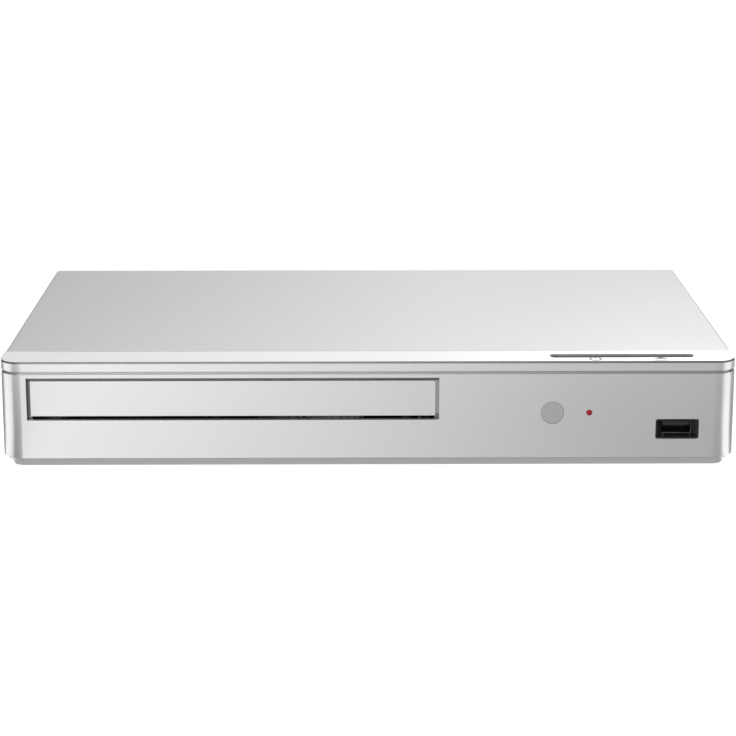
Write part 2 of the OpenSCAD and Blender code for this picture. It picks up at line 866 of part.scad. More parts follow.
module belt_loop(big, small, span, lean, run) {
    translate([pulley_x, gear_y]) circle(big);
    translate([motor_x, gear_y]) circle(small);
    polygon([
        [pulley_x - big * sin(lean), gear_y + big * cos(lean)],
        [motor_x - small * sin(lean), gear_y + small * cos(lean)],
        [motor_x - small * sin(lean), gear_y - small * cos(lean)],
        [pulley_x - big * sin(lean), gear_y - big * cos(lean)]
    ]);
}

module loading_motor() {
    shaft_top = pulley_z + pulley_h;
    can_z = deck_z + motor_gap;
    tab_l = 4;
    color(steel) translate([motor_x, gear_y, 0]) {
        post(0, 0, can_z, gear_deck_z, motor_can_r);
        post(0, 0, gear_deck_z - over, gear_deck_z + gear_deck_t - fit_gap, motor_can_r / 4);
        post(0, 0, gear_deck_z, shaft_top, motor_shaft_r);
        for (sx = [-1, 1]) translate([sx * motor_can_r / 2, 0, 0])
            block([-over / 2, -motor_can_r - tab_l / 2, can_z + over],
                [over / 2, -motor_can_r / 2, can_z + tab_l]);
    }
}

// Moulded frame of the loader: walls, guide ledges, gear deck, rear beam and pivot ears
module loader_frame() {
    ear_t = 4;
    ear_top_gap = 3.2;
    ear_l = 10;
    beam_l = 16;
    keeper_l = 12;
    shoe_gap = 0.3;
    ear_x = trav_half + over;
    color(plastic_grey) translate([loader_x, 0, 0]) difference() {
        union() {
            for (side = [0, 1]) mirror([side, 0, 0]) {
                block([frame_in, frame_y, frame_z], [frame_half, frame_rear_y, frame_top_z]);
                block([frame_in - ledge_w, frame_y, tray_z - rail_gap - ledge_t],
                    [frame_in + over, frame_rear_y, tray_z - rail_gap]);
                for (y = [frame_y, spindle_y + keeper_back, frame_rear_y - keeper_l])
                    block([frame_in - ledge_w, y, tray_top_z + rail_gap],
                        [frame_in + over, y + keeper_l, tray_top_z + rail_gap + ledge_t / 2]);
                block([ear_x, pivot_y - ear_l / 2, frame_z],
                    [ear_x + ear_t, frame_rear_y - over, pivot_z + ear_top_gap]);
            }
            block([-frame_half, frame_rear_y - frame_t, frame_z], [frame_half, frame_rear_y, frame_top_z]);
            block([-frame_half, frame_rear_y - beam_l, frame_z],
                [frame_half, frame_rear_y, frame_z + gear_deck_t]);
            block([-frame_half, frame_y, gear_deck_z], [frame_half, frame_y + gear_deck_l, gear_deck_top]);
            block([-frame_in, frame_y + gear_deck_l - gear_deck_t, frame_z],
                [frame_in, frame_y + gear_deck_l, gear_deck_top]);
            translate([-loader_x, 0, 0]) {
                post(tray_gear_x, gear_y, gear_deck_top - over, gear_top_z - over, post_r);
                post(tray_gear_x, gear_y, gear_deck_top - over, tray_gear_z - fit_gap / 2, post_r * 2);
                post(pulley_x, gear_y, gear_deck_top - over, pinion_top_z, post_r);
                for (p = frame_feet) post(p.x, p.y, deck_z, frame_z + over, foot_boss_r);
            }
        }
        for (side = [-1, 1])
            rod_along_x(pivot_y, pivot_z, side * (ear_x + ear_t / 2) - ear_t,
                side * (ear_x + ear_t / 2) + ear_t,
                pivot_pin_r + run_fit);
        translate([-loader_x, 0, 0]) {
            for (p = frame_feet) post(p.x, p.y, deck_z - over, frame_z + foot_boss_r, screw_core);
            post(motor_x, gear_y, gear_deck_z - over, gear_deck_top + over, motor_can_r / 4 + fit_gap / 2);
            block([motor_x - motor_can_r - shoe_gap, frame_y - over, frame_z - over],
                [motor_x + motor_can_r + shoe_gap, gear_y + motor_can_r + shoe_gap, gear_deck_z]);
            for (sx = [-1, 1], y = bridge_screw_y)
                post(loader_x + sx * (frame_half - frame_t / 2), y, frame_top_z - screw_len,
                    frame_top_z + over,
                    screw_core);
        }
    }
}
keeper_back = 34;
bridge_screw_share = 0.36;
bridge_screw_y = [spindle_y - bridge_l * bridge_screw_share, spindle_y + bridge_l * bridge_screw_share];

module loader_screws() {
    head_h = 1.1;
    color(steel) {
        for (sx = [-1, 1], y = bridge_screw_y)
            translate([loader_x + sx * (frame_half - frame_t / 2), y, bridge_z + bridge_t])
                screw(head_h, screw_len);
        for (p = board_posts) translate([p.x, p.y, pcb_top]) screw(head_h, screw_len);
        for (p = front_board_bosses) translate([p.x, front_board_y + pcb_t, p.y]) rotate([-90, 0, 0])
            screw(head_h, screw_len);
        for (p = frame_feet) translate([p.x, p.y, floor_z]) rotate([180, 0, 0]) screw(head_h, screw_len);
        for (x = panel_screw_x) translate([x, panel_screw_y, floor_z]) rotate([180, 0, 0])
            screw(head_h, base_t + flange_t);
    }
}

// Steel strip over the tray that carries the clamper
module clamper_bridge() {
    rib_h = 3;
    color(steel) difference() {
        union() {
            block([loader_x - frame_half, spindle_y - bridge_l / 2, bridge_z],
                [loader_x + frame_half, spindle_y + bridge_l / 2, bridge_z + bridge_t]);
            for (y = [-bridge_l / 2, bridge_l / 2 - bridge_t])
                block([loader_x - frame_in, spindle_y + y, bridge_z],
                    [loader_x + frame_in, spindle_y + y + bridge_t, bridge_z + rib_h]);
        }
        post(loader_x, spindle_y, bridge_z - over, bridge_z + 2 * over, clamp_hole_r);
        for (sx = [-1, 1], y = bridge_screw_y)
            post(loader_x + sx * (frame_half - frame_t / 2), y, bridge_z - over, bridge_z + 2 * over,
                screw_core + fit_gap);
    }
}

module clamper_disc() {
    color(white_plastic) translate([loader_x, spindle_y, 0]) difference() {
        union() {
            post(0, 0, clamp_z, clamp_z + clamp_disc_t, clamp_r);
            post(0, 0, clamp_z, bridge_z + bridge_t + rail_gap, clamp_boss_r);
        }
        post(0, 0, clamp_z + clamp_disc_t, bridge_z + 2 * bridge_t, magnet_r + fit_gap / 2);
        post(0, 0, clamp_z - over, clamp_z + clamp_disc_t / 2, cone_r + over);
    }
}

module clamper_magnet() {
    color(dark_grey) post(loader_x, spindle_y, clamp_z + clamp_disc_t, clamp_z + clamp_disc_t + magnet_t,
        magnet_r);
}

module clamper_cap() {
    z0 = bridge_z + bridge_t + rail_gap;
    color(white_plastic) translate([loader_x, spindle_y, 0]) union() {
        post(0, 0, z0, z0 + cap_t, cap_r);
        post(0, 0, clamp_z + clamp_disc_t + magnet_t, z0 + cap_t / 2, magnet_r - fit_gap);
    }
}

// Slider in front of the traverse: its sloped slot lifts the traverse's front pin
module cam_slider() {
    low = pin_centre(drop_angle);
    high = pin_centre(0);
    r = cam_pin_r + cam_slot_gap;
    ease = 0.02;
    side_w = 6;
    top = 2;
    lean = atan((high - low) / cam_run);
    color(white_plastic) along_y(cam_plate_y, cam_plate_y + cam_plate_t)
        translate([loader_x + cam_pin_x, 0])
        difference() {
            translate([-side_w, deck_z + slider_lift])
                square([cam_run + 2 * side_w, high + r + top - deck_z - slider_lift]);
            translate([0, low]) circle(r);
            translate([cam_run, high]) circle(r);
            translate([0, low]) rotate(lean) translate([0, ease - r])
                square([cam_run / cos(lean), 2 * (r - ease)]);
        }
}
slider_lift = 0.3;
// Height of the cam pin's centre when the traverse is dropped by an angle
pin_arm_y = pivot_y - (cam_plate_y + cam_plate_t / 2);
pin_rise = trav_t / 2;
function pin_centre(a) = pivot_z - pin_arm_y * sin(a) + pin_rise * cos(a);

// Everything on the traverse is drawn level and tipped about the rear pivot
module dropped() {
    translate([0, pivot_y, pivot_z]) rotate([drop_angle, 0, 0]) translate([0, -pivot_y, -pivot_z])
        children();
}

module traverse_chassis() {
    motor_hole_r = 4;
    pin_l = 4.6;
    block_w = 5;
    color(plastic_grey) dropped() translate([loader_x, 0, 0]) difference() {
        union() {
            block([-trav_half, trav_y0, pivot_z], [trav_half, trav_y1, trav_top_z]);
            for (side = [0, 1]) mirror([side, 0, 0]) {
                rod_along_x(pivot_y, pivot_z, trav_half - over, trav_half + pin_l, pivot_pin_r);
                block([rod_x - block_w / 2, bay_y0 - block_w, trav_top_z - over],
                    [rod_x + block_w / 2, bay_y0, rod_z + rod_r + over / 2]);
                block([rod_x - block_w / 2, bay_y1, trav_top_z - over],
                    [rod_x + block_w / 2, trav_y1, rod_z + rod_r + over / 2]);
            }
            rod_along_y(cam_pin_x, pivot_z + pin_rise, cam_plate_y + cam_plate_t / 4, trav_y0 + over,
                cam_pin_r);
            block([screw_x - block_w / 2, bay_y0 - block_w, trav_top_z - over],
                [screw_x + block_w / 2, bay_y0, screw_z + screw_core_r + 2 * over]);
            for (side = [0, 1]) mirror([side, 0, 0])
                block([trav_half - trav_t, trav_y0, pivot_z - rib_drop],
                    [trav_half, trav_y1 - rib_end, pivot_z + over]);
        }
        block([-bay_x0, bay_y0, pivot_z - over], [bay_x1, bay_y1, trav_top_z + over]);
        for (side = [-1, 1])
            rod_along_y(side * rod_x, rod_z, rod_y0 - fit_gap, rod_y1 + fit_gap, rod_r + run_fit / 2);
        rod_along_y(screw_x, screw_z, screw_y0 - 2 * over, bay_y0 + over, screw_core_r + run_fit);
        post(0, spindle_y, pivot_z - over, trav_top_z + over, motor_hole_r);
    }
}
rib_drop = 3;
rib_end = 8;

module guide_rods() {
    color(steel) dropped() for (side = [-1, 1])
        rod_along_y(loader_x + side * rod_x, rod_z, rod_y0, rod_y1, rod_r);
}

module spindle_motor() {
    bush_r = 3;
    bush_h = 2.4;
    poles = 9;
    pole_w = 2;
    pole_reach_share = 0.8;
    foot_share = 0.9;
    color(steel) dropped() translate([loader_x, spindle_y, 0]) difference() {
        union() {
            block([-rotor_r, -rotor_r, trav_top_z],
                [rotor_r, rotor_r * foot_share, trav_top_z + motor_base_t]);
            post(0, 0, trav_top_z, trav_top_z + motor_base_t + bush_h, bush_r);
            for (i = [0 : poles - 1]) rotate([0, 0, i * 360 / poles])
                block([bush_r / 2, -pole_w / 2, trav_top_z + motor_base_t],
                    [rotor_r * pole_reach_share, pole_w / 2, trav_top_z + motor_base_t + bush_h]);
        }
        post(0, 0, pivot_z, disc_z, shaft_r + run_fit);
    }
}

module turntable() {
    top = disc_z;
    can_z = trav_top_z + motor_base_t + rotor_gap;
    can_t = 0.8;
    lining_r = 4;
    color(black) dropped() translate([loader_x, spindle_y, 0]) union() {
        difference() {
            union() {
                post(0, 0, can_z, top - table_t + over / 2, rotor_r);
                post(0, 0, top - table_t, top, table_r);
            }
            post(0, 0, can_z - over, top - table_t - can_t, rotor_r - can_t);
            difference() {
                post(0, 0, top - can_t / 2, top + over, cone_r + can_t);
                post(0, 0, top - over, top + 2 * over, lining_r);
            }
        }
        post(0, 0, trav_top_z + rotor_gap, top - table_t, shaft_r);
    }
}

// Sprung cone that centres the disc's hole
module centring_cone() {
    nose_r = 5.6;
    top_r = 3;
    foot_in_r = 4;
    foot = 0.4;
    color(white_plastic) dropped() translate([loader_x, spindle_y, disc_z - foot]) difference() {
        rotate_extrude() polygon([
            [foot_in_r, 0], [cone_r, 0], [cone_r, foot + cone_h / 3], [nose_r, foot + cone_h * cone_share],
            [top_r, foot + cone_h], [0, foot + cone_h], [0, foot], [foot_in_r, foot]
        ]);
        translate([0, 0, foot]) cylinder(h = foot, r = shaft_r);
    }
}
cone_share = 0.8;

// Optical pickup: body with arms round the rods
module pickup_body() {
    arm_l = 8;
    well = 6;
    color(dark_grey) dropped() translate([loader_x, 0, 0]) difference() {
        union() {
            block([-pickup_half_w, lens_y - pickup_front, pickup_z],
                [pickup_half_w, lens_y + pickup_back, pickup_top_z]);
            for (sx = [-1, 1], y = [lens_y - pickup_front, lens_y + pickup_back - arm_l])
                block([sx < 0 ? -rod_x - pickup_arm_out : pickup_half_w - over, y, rod_z - rod_r - over],
                    [sx < 0 ? -pickup_half_w + over : rod_x + pickup_arm_out, y + arm_l,
                        rod_z + rod_r + over]);
        }
        for (side = [-1, 1])
            rod_along_y(side * rod_x, rod_z, lens_y - pickup_front - over, lens_y + pickup_back + over,
                rod_r + run_fit);
        block([-holder_half - well_gap, lens_y - holder_half - well_gap, pickup_top_z - well],
            [holder_half + well_gap, lens_y + holder_half + well_gap, pickup_top_z + over]);
    }
}
holder_half = 7;
well_gap = 1;
pickup_arm_out = 3;

// Half nut that follows the feed screw
module screw_follower() {
    arm_h = 1.6;
    arm_l = 7;
    color(white_plastic) dropped() translate([loader_x, 0, 0])
        block([rod_x + pickup_arm_out, lens_y + over, screw_z - arm_h / 2],
            [screw_x - screw_core_r - screw_crest - follower_gap, lens_y + over + arm_l,
                screw_z + arm_h / 2]);
}
follower_gap = 0.1;

lens_r = 4;
lens_wall = 1;
lens_rise = 1.8;
lens_seat = 1;

module lens_holder() {
    foot = 4.5;
    shaft_share = 0.6;
    color(black) dropped() translate([loader_x, lens_y, 0]) difference() {
        union() {
            block([-holder_half, -holder_half, pickup_top_z - foot],
                [holder_half, holder_half, pickup_top_z + lens_rise / 2]);
            post(0, 0, pickup_top_z, pickup_top_z + lens_rise, lens_r + lens_wall);
        }
        post(0, 0, pickup_top_z - foot - over, pickup_top_z + lens_rise + over, lens_r * shaft_share);
        post(0, 0, pickup_top_z + lens_rise - lens_seat, pickup_top_z + lens_rise + over, lens_r);
    }
}

module lens() {
    crown = 0.7;
    steps = 8;
    rim_share = 0.7;
    color(lens_blue) dropped() translate([loader_x, lens_y, pickup_top_z + lens_rise - lens_seat])
        rotate_extrude()
        polygon(concat([[0, 0], [lens_r, 0]], [for (i = [0 : steps])
            [lens_r * cos(i * 90 / steps), lens_seat * rim_share + crown * sin(i * 90 / steps)]]));
}

module feed_motor() {
    color(steel) dropped()
        rod_along_y(loader_x + screw_x, screw_z, screw_y1, screw_y1 + feed_can_l - fit_gap, feed_can_r);
}

// Lead screw: a round core and one raised helical thread
module feed_screw() {
    turns = round((thread_y1 - thread_y0) / screw_lead);
    color(steel) dropped() translate([loader_x + screw_x, 0, screw_z]) union() {
        rod_along_y(0, 0, screw_y0, screw_y1, screw_core_r);
        translate([0, thread_y1, 0]) rotate([90, 0, 0])
            linear_extrude(thread_y1 - thread_y0, twist = 360 * turns, slices = thread_sides * turns,
                $fn = thread_sides) translate([screw_crest, 0]) circle(screw_core_r, $fn = thread_sides);
    }
}
thread_end = 2;
thread_sides = 8;
thread_y0 = bay_y0 + thread_end;
thread_y1 = screw_y1 - thread_end;

// Flat cable from the main board, under the frame, to the pickup
module pickup_ribbon() {
    film_t = 0.4;
    film_w = 20;
    lens_lag = 2;
    run_gap = 1.2;
    run_end = 6;
    turn_gap = 2.2;
    plug_h = 3.4;
    plug_set = 1;
    plug_l = 4;
    y0 = lens_y + lens_lag - film_w / 2;
    low_z = deck_z + run_gap;
    end_x = loader_x + run_end;
    turn_x = main_x0 - turn_gap;
    under_z = pickup_z - (pivot_y - lens_y) * sin(drop_angle) - run_gap;
    color(film_white) along_y(y0, y0 + film_w) union() {
        translate([end_x, low_z]) square([turn_x - end_x + film_t, film_t]);
        translate([turn_x, low_z]) square([film_t, pcb_top + plug_h - low_z]);
        translate([turn_x, pcb_top + plug_h - film_t])
            square([main_x0 + plug_set + plug_l / 2 - turn_x, film_t]);
        translate([end_x, low_z]) square([film_t, under_z - low_z]);
    }
    color(white_plastic) block([main_x0 + plug_set, y0, pcb_top],
        [main_x0 + plug_set + plug_l, y0 + film_w, pcb_top + plug_h - film_t]);
}

// Front pieces
press_gap = 0.12;
lens_set = 0.12;
light_guide_wall = 0.8;
lamp_l = 5;
lamp_front_y = front_board_y - lamp_l;

module remote_window() {
    skirt = 1;
    color(grey_window) union() {
        rod_along_y(window_x, window_z, front_y + lens_set, panel_in_y, window_r - press_gap);
        rod_along_y(window_x, window_z, panel_in_y, panel_in_y + skirt, window_r + skirt);
    }
}

module power_lamp_lens() {
    color(lamp_red) union() {
        rod_along_y(lamp_x, window_z, front_y + lens_set, panel_in_y, lamp_r - press_gap);
        rod_along_y(lamp_x, window_z, panel_in_y, lamp_front_y, lamp_r + light_guide_wall);
    }
}

module front_socket_bezel() {
    lip = 0.3;
    back = 1.2;
    d = wall + back;
    gap = 0.1;
    flange = 1;
    color(black) translate([jack_x, 0, jack_z]) difference() {
        union() {
            along_y(front_y + lip, front_y + d)
                round_rect(bezel_w - 2 * gap, bezel_h - 2 * gap, bezel_corner - gap);
            along_y(panel_in_y, front_y + d)
                round_rect(bezel_w + 2 * flange, bezel_h + 2 * flange, bezel_corner);
        }
        along_x(-mouth_half_w, mouth_half_w) polygon([
            [front_y - over, bezel_h / 2 - rim_t], [front_y + lip, bezel_h / 2 - rim_t],
            [front_y + d - over, mouth_half_h], [front_y + d + over, mouth_half_h],
            [front_y + d + over, -mouth_half_h], [front_y + d - over, -mouth_half_h],
            [front_y + lip, -bezel_h / 2 + rim_t], [front_y - over, -bezel_h / 2 + rim_t]
        ]);
        for (side = [0, 1]) mirror([side, 0, 0]) translate([mouth_half_w - over, 0, 0])
            bezel_side_cut(lip, d);
    }
}
rim_t = 0.7;
mouth_gap = 0.1;

// Sloped side of the bezel's mouth
module bezel_side_cut(lip, d) {
    reach = bezel_w / 2 - rim_t - mouth_half_w + over;
    translate([0, 0, -bezel_h / 2 + rim_t]) linear_extrude(bezel_h - 2 * rim_t) polygon([
        [0, front_y - over], [reach, front_y - over], [reach, front_y + lip], [over, front_y + d - over],
        [0, front_y + d - over]
    ]);
}

// Receptacle behind the bezel
jack_w = 13.1;
jack_h = 5.7;
jack_l = 13.9;
jack_t = 0.3;
mouth_half_w = jack_w / 2 - jack_t + mouth_gap;
mouth_half_h = jack_h / 2 - jack_t + mouth_gap;
jack_in = 3.8;
jack_y = front_y + jack_in;

module front_socket_shell() {
    color(steel) translate([jack_x, 0, jack_z]) difference() {
        block([-jack_w / 2, jack_y, -jack_h / 2], [jack_w / 2, jack_y + jack_l, jack_h / 2]);
        block([-jack_w / 2 + jack_t, jack_y - over, -jack_h / 2 + jack_t],
            [jack_w / 2 - jack_t, jack_y + jack_l - over, jack_h / 2 - jack_t]);
    }
}

module front_socket_tongue() {
    tongue = 1.9;
    set = 0.6;
    pad_w = 1.2;
    pad_t = 0.15;
    stub = 2.5;
    side = 0.7;
    color(white_plastic) translate([jack_x, 0, jack_z]) {
        block([-jack_w / 2 + jack_t + side, jack_y + set, jack_h / 2 - jack_t - tongue],
            [jack_w / 2 - jack_t - side, jack_y + jack_l - over, jack_h / 2 - jack_t]);
        block([-jack_w / 2 + jack_t + side, jack_y + jack_l - over - stub, -jack_h / 2 + jack_t],
            [jack_w / 2 - jack_t - side, jack_y + jack_l - over, jack_h / 2 - jack_t - tongue]);
    }
    color(brass) translate([jack_x, 0, jack_z]) for (i = [-1.5 : 1 : 1.5])
        block([i * 2 * pad_w - pad_w / 2, jack_y + 2 * set, jack_h / 2 - jack_t - tongue - pad_t],
            [i * 2 * pad_w + pad_w / 2, jack_y + jack_l / 2, jack_h / 2 - jack_t - tongue]);
}

module front_board() {
    notch_gap = 0.4;
    color(board_green) difference() {
        block([front_board_x0, front_board_y, front_board_z0],
            [front_board_x1, front_board_y + pcb_t, front_board_z1]);
        block([jack_x - jack_w / 2 - notch_gap, front_board_y - over, jack_z - jack_h / 2 - notch_gap],
            [jack_x + jack_w / 2 + notch_gap, front_board_y + pcb_t + over,
                jack_z + jack_h / 2 + notch_gap]);
        for (p = front_board_bosses)
            rod_along_y(p.x, p.y, front_board_y - over, front_board_y + pcb_t + over, screw_core + fit_gap);
    }
}

module remote_receiver() {
    w = 6;
    h = 7;
    d = 4;
    dome = 2.2;
    color(black) union() {
        block([window_x - w / 2, front_board_y - d, window_z - h / 2],
            [window_x + w / 2, front_board_y, window_z + h / 2]);
        rod_along_y(window_x, window_z, front_board_y - d - dome / 2, front_board_y - d + over, dome);
    }
}

module power_lamp() {
    body_r = 1.5;
    collar = 0.4;
    collar_h = 2;
    color(lamp_red) union() {
        rod_along_y(lamp_x, window_z, lamp_front_y + fit_gap, front_board_y, body_r);
        rod_along_y(lamp_x, window_z, front_board_y - collar_h, front_board_y, body_r + collar);
    }
}

// Keys in the slot of the trim, with the switches below on the front board
key_gap = 0.25;
key_sink = 1;
key_stem_w = 2.4;
key_part = 0.3;
key_share = 0.225;
power_key_x = slot_x - slot_l * key_share;
eject_key_x = slot_x + slot_l * key_share;
switch_w = 6;
switch_d = 4.6;
switch_h = 3.6;
switch_z = front_board_z1 - switch_h;
plunger_h = 1;
plunger_w = 3;
plunger_d = 1.6;
plunger_z = front_board_z1 + plunger_h;
switch_mid_y = front_board_y - switch_d / 2;
slope = atan(bevel_rise / front_depth);
bevel_at_slot = edge_z + slot_back * bevel_rise / front_depth;

module key_switches() {
    color(black) for (x = [power_key_x, eject_key_x]) difference() {
        block([x - switch_w / 2, front_board_y - switch_d, switch_z],
            [x + switch_w / 2, front_board_y, front_board_z1]);
        block([x - plunger_w / 2 - fit_gap, switch_mid_y - plunger_d / 2 - fit_gap, front_board_z1 - over],
            [x + plunger_w / 2 + fit_gap, switch_mid_y + plunger_d / 2 + fit_gap, front_board_z1 + over]);
    }
}

module plunger(x) {
    color(dark_grey) block([x - plunger_w / 2, switch_mid_y - plunger_d / 2,
        front_board_z1 - over + key_travel + fit_gap / 2],
        [x + plunger_w / 2, switch_mid_y + plunger_d / 2, plunger_z]);
}

module power_plunger() { plunger(power_key_x); }
module eject_plunger() { plunger(eject_key_x); }

// One key: cap in its half of the slot, flange below the trim and a stem to its switch
module key(x, side) {
    flange_w = 0.9;
    flange_h = 1;
    flange_share = 0.16;
    cap_h = 4.4;
    under_gap = 0.25;
    cap_z = bevel_at_slot - key_sink;
    flange_z = bevel_at_slot - wall - under_gap - slot_w / 2 * tan(slope);
    color(dark_grey) union() {
        intersection() {
            translate([slot_x, slot_y, flange_z - flange_h / 2])
                linear_extrude(cap_h + over) key_slot_outline(key_gap);
            translate([slot_x, slot_y, cap_z]) rotate([slope, 0, 0]) translate([0, 0, -cap_h * 2])
                translate([-slot_l, -slot_w, 0]) cube([2 * slot_l, 2 * slot_w, cap_h * 2]);
            block([side < 0 ? slot_x - slot_l : slot_x + key_part / 2, front_y, flange_z - flange_h],
                [side < 0 ? slot_x - key_part / 2 : slot_x + slot_l, cover_y, body_h]);
        }
        block([x - slot_l * flange_share, slot_y - slot_w / 2 - flange_w, flange_z - flange_h],
            [x + slot_l * flange_share, slot_y + slot_w / 2 + flange_w, flange_z]);
        block([x - key_stem_w / 2, switch_mid_y - key_stem_w / 2, plunger_z],
            [x + key_stem_w / 2, switch_mid_y + key_stem_w / 2, flange_z - flange_h / 2]);
    }
}

module power_key() { key(power_key_x, -1); }
module eject_key() { key(eject_key_x, 1); }

// Main board with its chips, capacitors and sockets
video_w = 15;
video_h = 5.8;
video_l = 11.8;
network_w = 16;
network_h = 13.4;
network_l = 21;
socket_out = 0.4;
video_share = 0.66;
network_share = 0.24;
video_x = main_x0 + (main_x1 - main_x0) * video_share;
network_x = main_x0 + (main_x1 - main_x0) * network_share;
socket_y = cover_rear_y - cover_t + socket_out;

module main_board() {
    y0 = board_rear_y - main_board_l;
    color(board_green) difference() {
        block([main_x0, y0, pcb_z], [main_x1, board_rear_y, pcb_top]);
        for (p = board_posts) post(p.x, p.y, pcb_z - over, pcb_top + over, screw_core + fit_gap);
    }
}
chip_x = (main_x0 + main_x1) / 2;
chip_share = 0.55;
side_chip_share = 0.62;
chip_y = board_rear_y - main_board_l * chip_share;
chip_w = 27;
chip_t = 1.8;

module processor() {
    small_w = 12;
    small_t = 1.1;
    color(black) {
        block([chip_x - chip_w / 2, chip_y - chip_w / 2, pcb_top],
            [chip_x + chip_w / 2, chip_y + chip_w / 2, pcb_top + chip_t]);
        for (sx = [-1, 1]) translate([chip_x + sx * chip_w * side_chip_share, chip_y - chip_w, 0])
            block([-small_w / 2, -small_w / 2, pcb_top], [small_w / 2, small_w / 2, pcb_top + small_t]);
    }
}

module heat_sink() {
    plate_t = 2;
    fin_h = 9;
    fins = 9;
    fin_t = 1;
    z0 = pcb_top + chip_t;
    pitch = (chip_w - fin_t) / (fins - 1);
    color(steel) union() {
        block([chip_x - chip_w / 2, chip_y - chip_w / 2, z0],
            [chip_x + chip_w / 2, chip_y + chip_w / 2, z0 + plate_t]);
        for (i = [0 : fins - 1]) translate([chip_x - chip_w / 2 + i * pitch, 0, 0])
            block([0, chip_y - chip_w / 2, z0 + plate_t / 2],
                [fin_t, chip_y + chip_w / 2, z0 + plate_t + fin_h]);
    }
}

module board_capacitors() {
    r = 3.2;
    h = 8;
    row = 5;
    pitch = 9;
    collar = 0.4;
    collar_h = 1;
    color(dark_grey) for (i = [0 : row - 1])
        translate([main_x0 + post_edge * 3 + i * pitch, board_rear_y - main_board_l + post_edge * 2,
            pcb_top]) union() {
            cylinder(h = h, r = r);
            cylinder(h = collar_h, r = r + collar);
        }
}

module video_socket_shell() {
    t = 0.4;
    color(steel) translate([video_x, 0, pcb_top]) difference() {
        along_y(socket_y - video_l, socket_y) polygon([
            [-video_w / 2, video_h], [video_w / 2, video_h], [video_w / 2, video_taper],
            [video_w / 2 - video_taper, 0], [-video_w / 2 + video_taper, 0], [-video_w / 2, video_taper]
        ]);
        along_y(socket_y - video_l + over, socket_y + over) polygon([
            [-video_w / 2 + t, video_h - t], [video_w / 2 - t, video_h - t], [video_w / 2 - t, video_taper],
            [video_w / 2 - video_taper, t], [-video_w / 2 + video_taper, t], [-video_w / 2 + t, video_taper]
        ]);
    }
}
video_taper = 2.2;

module video_socket_tongue() {
    tongue_half = 5.4;
    tongue_h = 1.6;
    mid_share = 0.56;
    color(black) block([video_x - tongue_half, socket_y - video_l + over,
        pcb_top + video_h * mid_share - tongue_h / 2],
        [video_x + tongue_half, socket_y - over, pcb_top + video_h * mid_share + tongue_h / 2]);
}

module network_socket() {
    mouth_w = 11.8;
    mouth_h = 7;
    key_w = 6.4;
    key_drop = 2.6;
    mouth_up = 4;
    depth = 14;
    color(steel) translate([network_x, 0, pcb_top]) difference() {
        block([-network_w / 2, socket_y - network_l, 0], [network_w / 2, socket_y, network_h]);
        block([-mouth_w / 2, socket_y - depth, mouth_up],
            [mouth_w / 2, socket_y + over, mouth_up + mouth_h]);
        block([-key_w / 2, socket_y - depth, mouth_up - key_drop],
            [key_w / 2, socket_y + over, mouth_up + over]);
    }
}

// Power supply
inlet_w = 25;
inlet_h = 16;
inlet_l = 17;
inlet_up = 10;
inlet_share = 0.6;
inlet_x = power_x0 + power_board_w * inlet_share;
inlet_z = pcb_top + inlet_up;
pin_r = 1.18;
pin_pitch = 8.6;
pin_l = 9;
well_r = 5.5;
well_d = 11.5;

module power_board() {
    color(board_brown) difference() {
        block([power_x0, board_rear_y - power_board_l, pcb_z], [power_x1, board_rear_y, pcb_top]);
        for (p = board_posts) post(p.x, p.y, pcb_z - over, pcb_top + over, screw_core + fit_gap);
    }
}

module transformer() {
    core_w = 24;
    core_l = 20;
    core_h = 20;
    leg = 5;
    coil_r = 9;
    x_share = 0.36;
    y_share = 0.62;
    cx = power_x0 + power_board_w * x_share;
    cy = board_rear_y - power_board_l * y_share;
    lift = 2;
    color(dark_grey) translate([cx, cy, pcb_top]) union() {
        block([-core_w / 2, -leg / 2, lift], [core_w / 2, leg / 2, lift + leg]);
        block([-core_w / 2, -leg / 2, lift + core_h - leg], [core_w / 2, leg / 2, lift + core_h]);
        for (sx = [-1, 1]) translate([sx * (core_w / 2 - leg / 4), 0, 0])
            block([-leg / 4, -leg / 2, lift], [leg / 4, leg / 2, lift + core_h]);
    }
    color(yellow) translate([cx, cy, pcb_top]) union() {
        post(0, 0, lift + leg, lift + core_h - leg, coil_r);
        for (sy = [0, 1]) mirror([0, sy, 0])
            block([-core_w / 2 + leg / 4, leg / 2, 0], [core_w / 2 - leg / 4, core_l / 2, lift + leg]);
    }
}

module filter_capacitor() {
    r = 8;
    h = 26;
    vent = 0.4;
    x_share = 0.8;
    y_share = 0.5;
    color(black) translate([power_x0 + power_board_w * x_share, board_rear_y - power_board_l * y_share,
        pcb_top])
        difference() {
            cylinder(h = h, r = r);
            for (a = [0, 90]) rotate([0, 0, a]) translate([-r / 2, -vent / 2, h - vent])
                cube([r, vent, over]);
        }
}

module fuse() {
    r = 2.5;
    l = 20;
    cap_l = 5;
    lift = 3.5;
    x_share = 0.16;
    y_share = 0.3;
    tube_share = 0.9;
    clip_w = 3;
    color(steel) translate([power_x0 + power_board_w * x_share, board_rear_y - power_board_l * y_share,
        pcb_top])
        union() {
        rod_along_y(0, lift, -l / 2, l / 2, r * tube_share);
        for (sy = [-1, 1]) {
            rod_along_y(0, lift, sy < 0 ? -l / 2 : l / 2 - cap_l, sy < 0 ? -l / 2 + cap_l : l / 2, r);
            translate([0, sy * (l / 2 - cap_l / 2), 0])
                block([-clip_w / 2, -clip_w / 2, 0], [clip_w / 2, clip_w / 2, lift]);
        }
    }
}

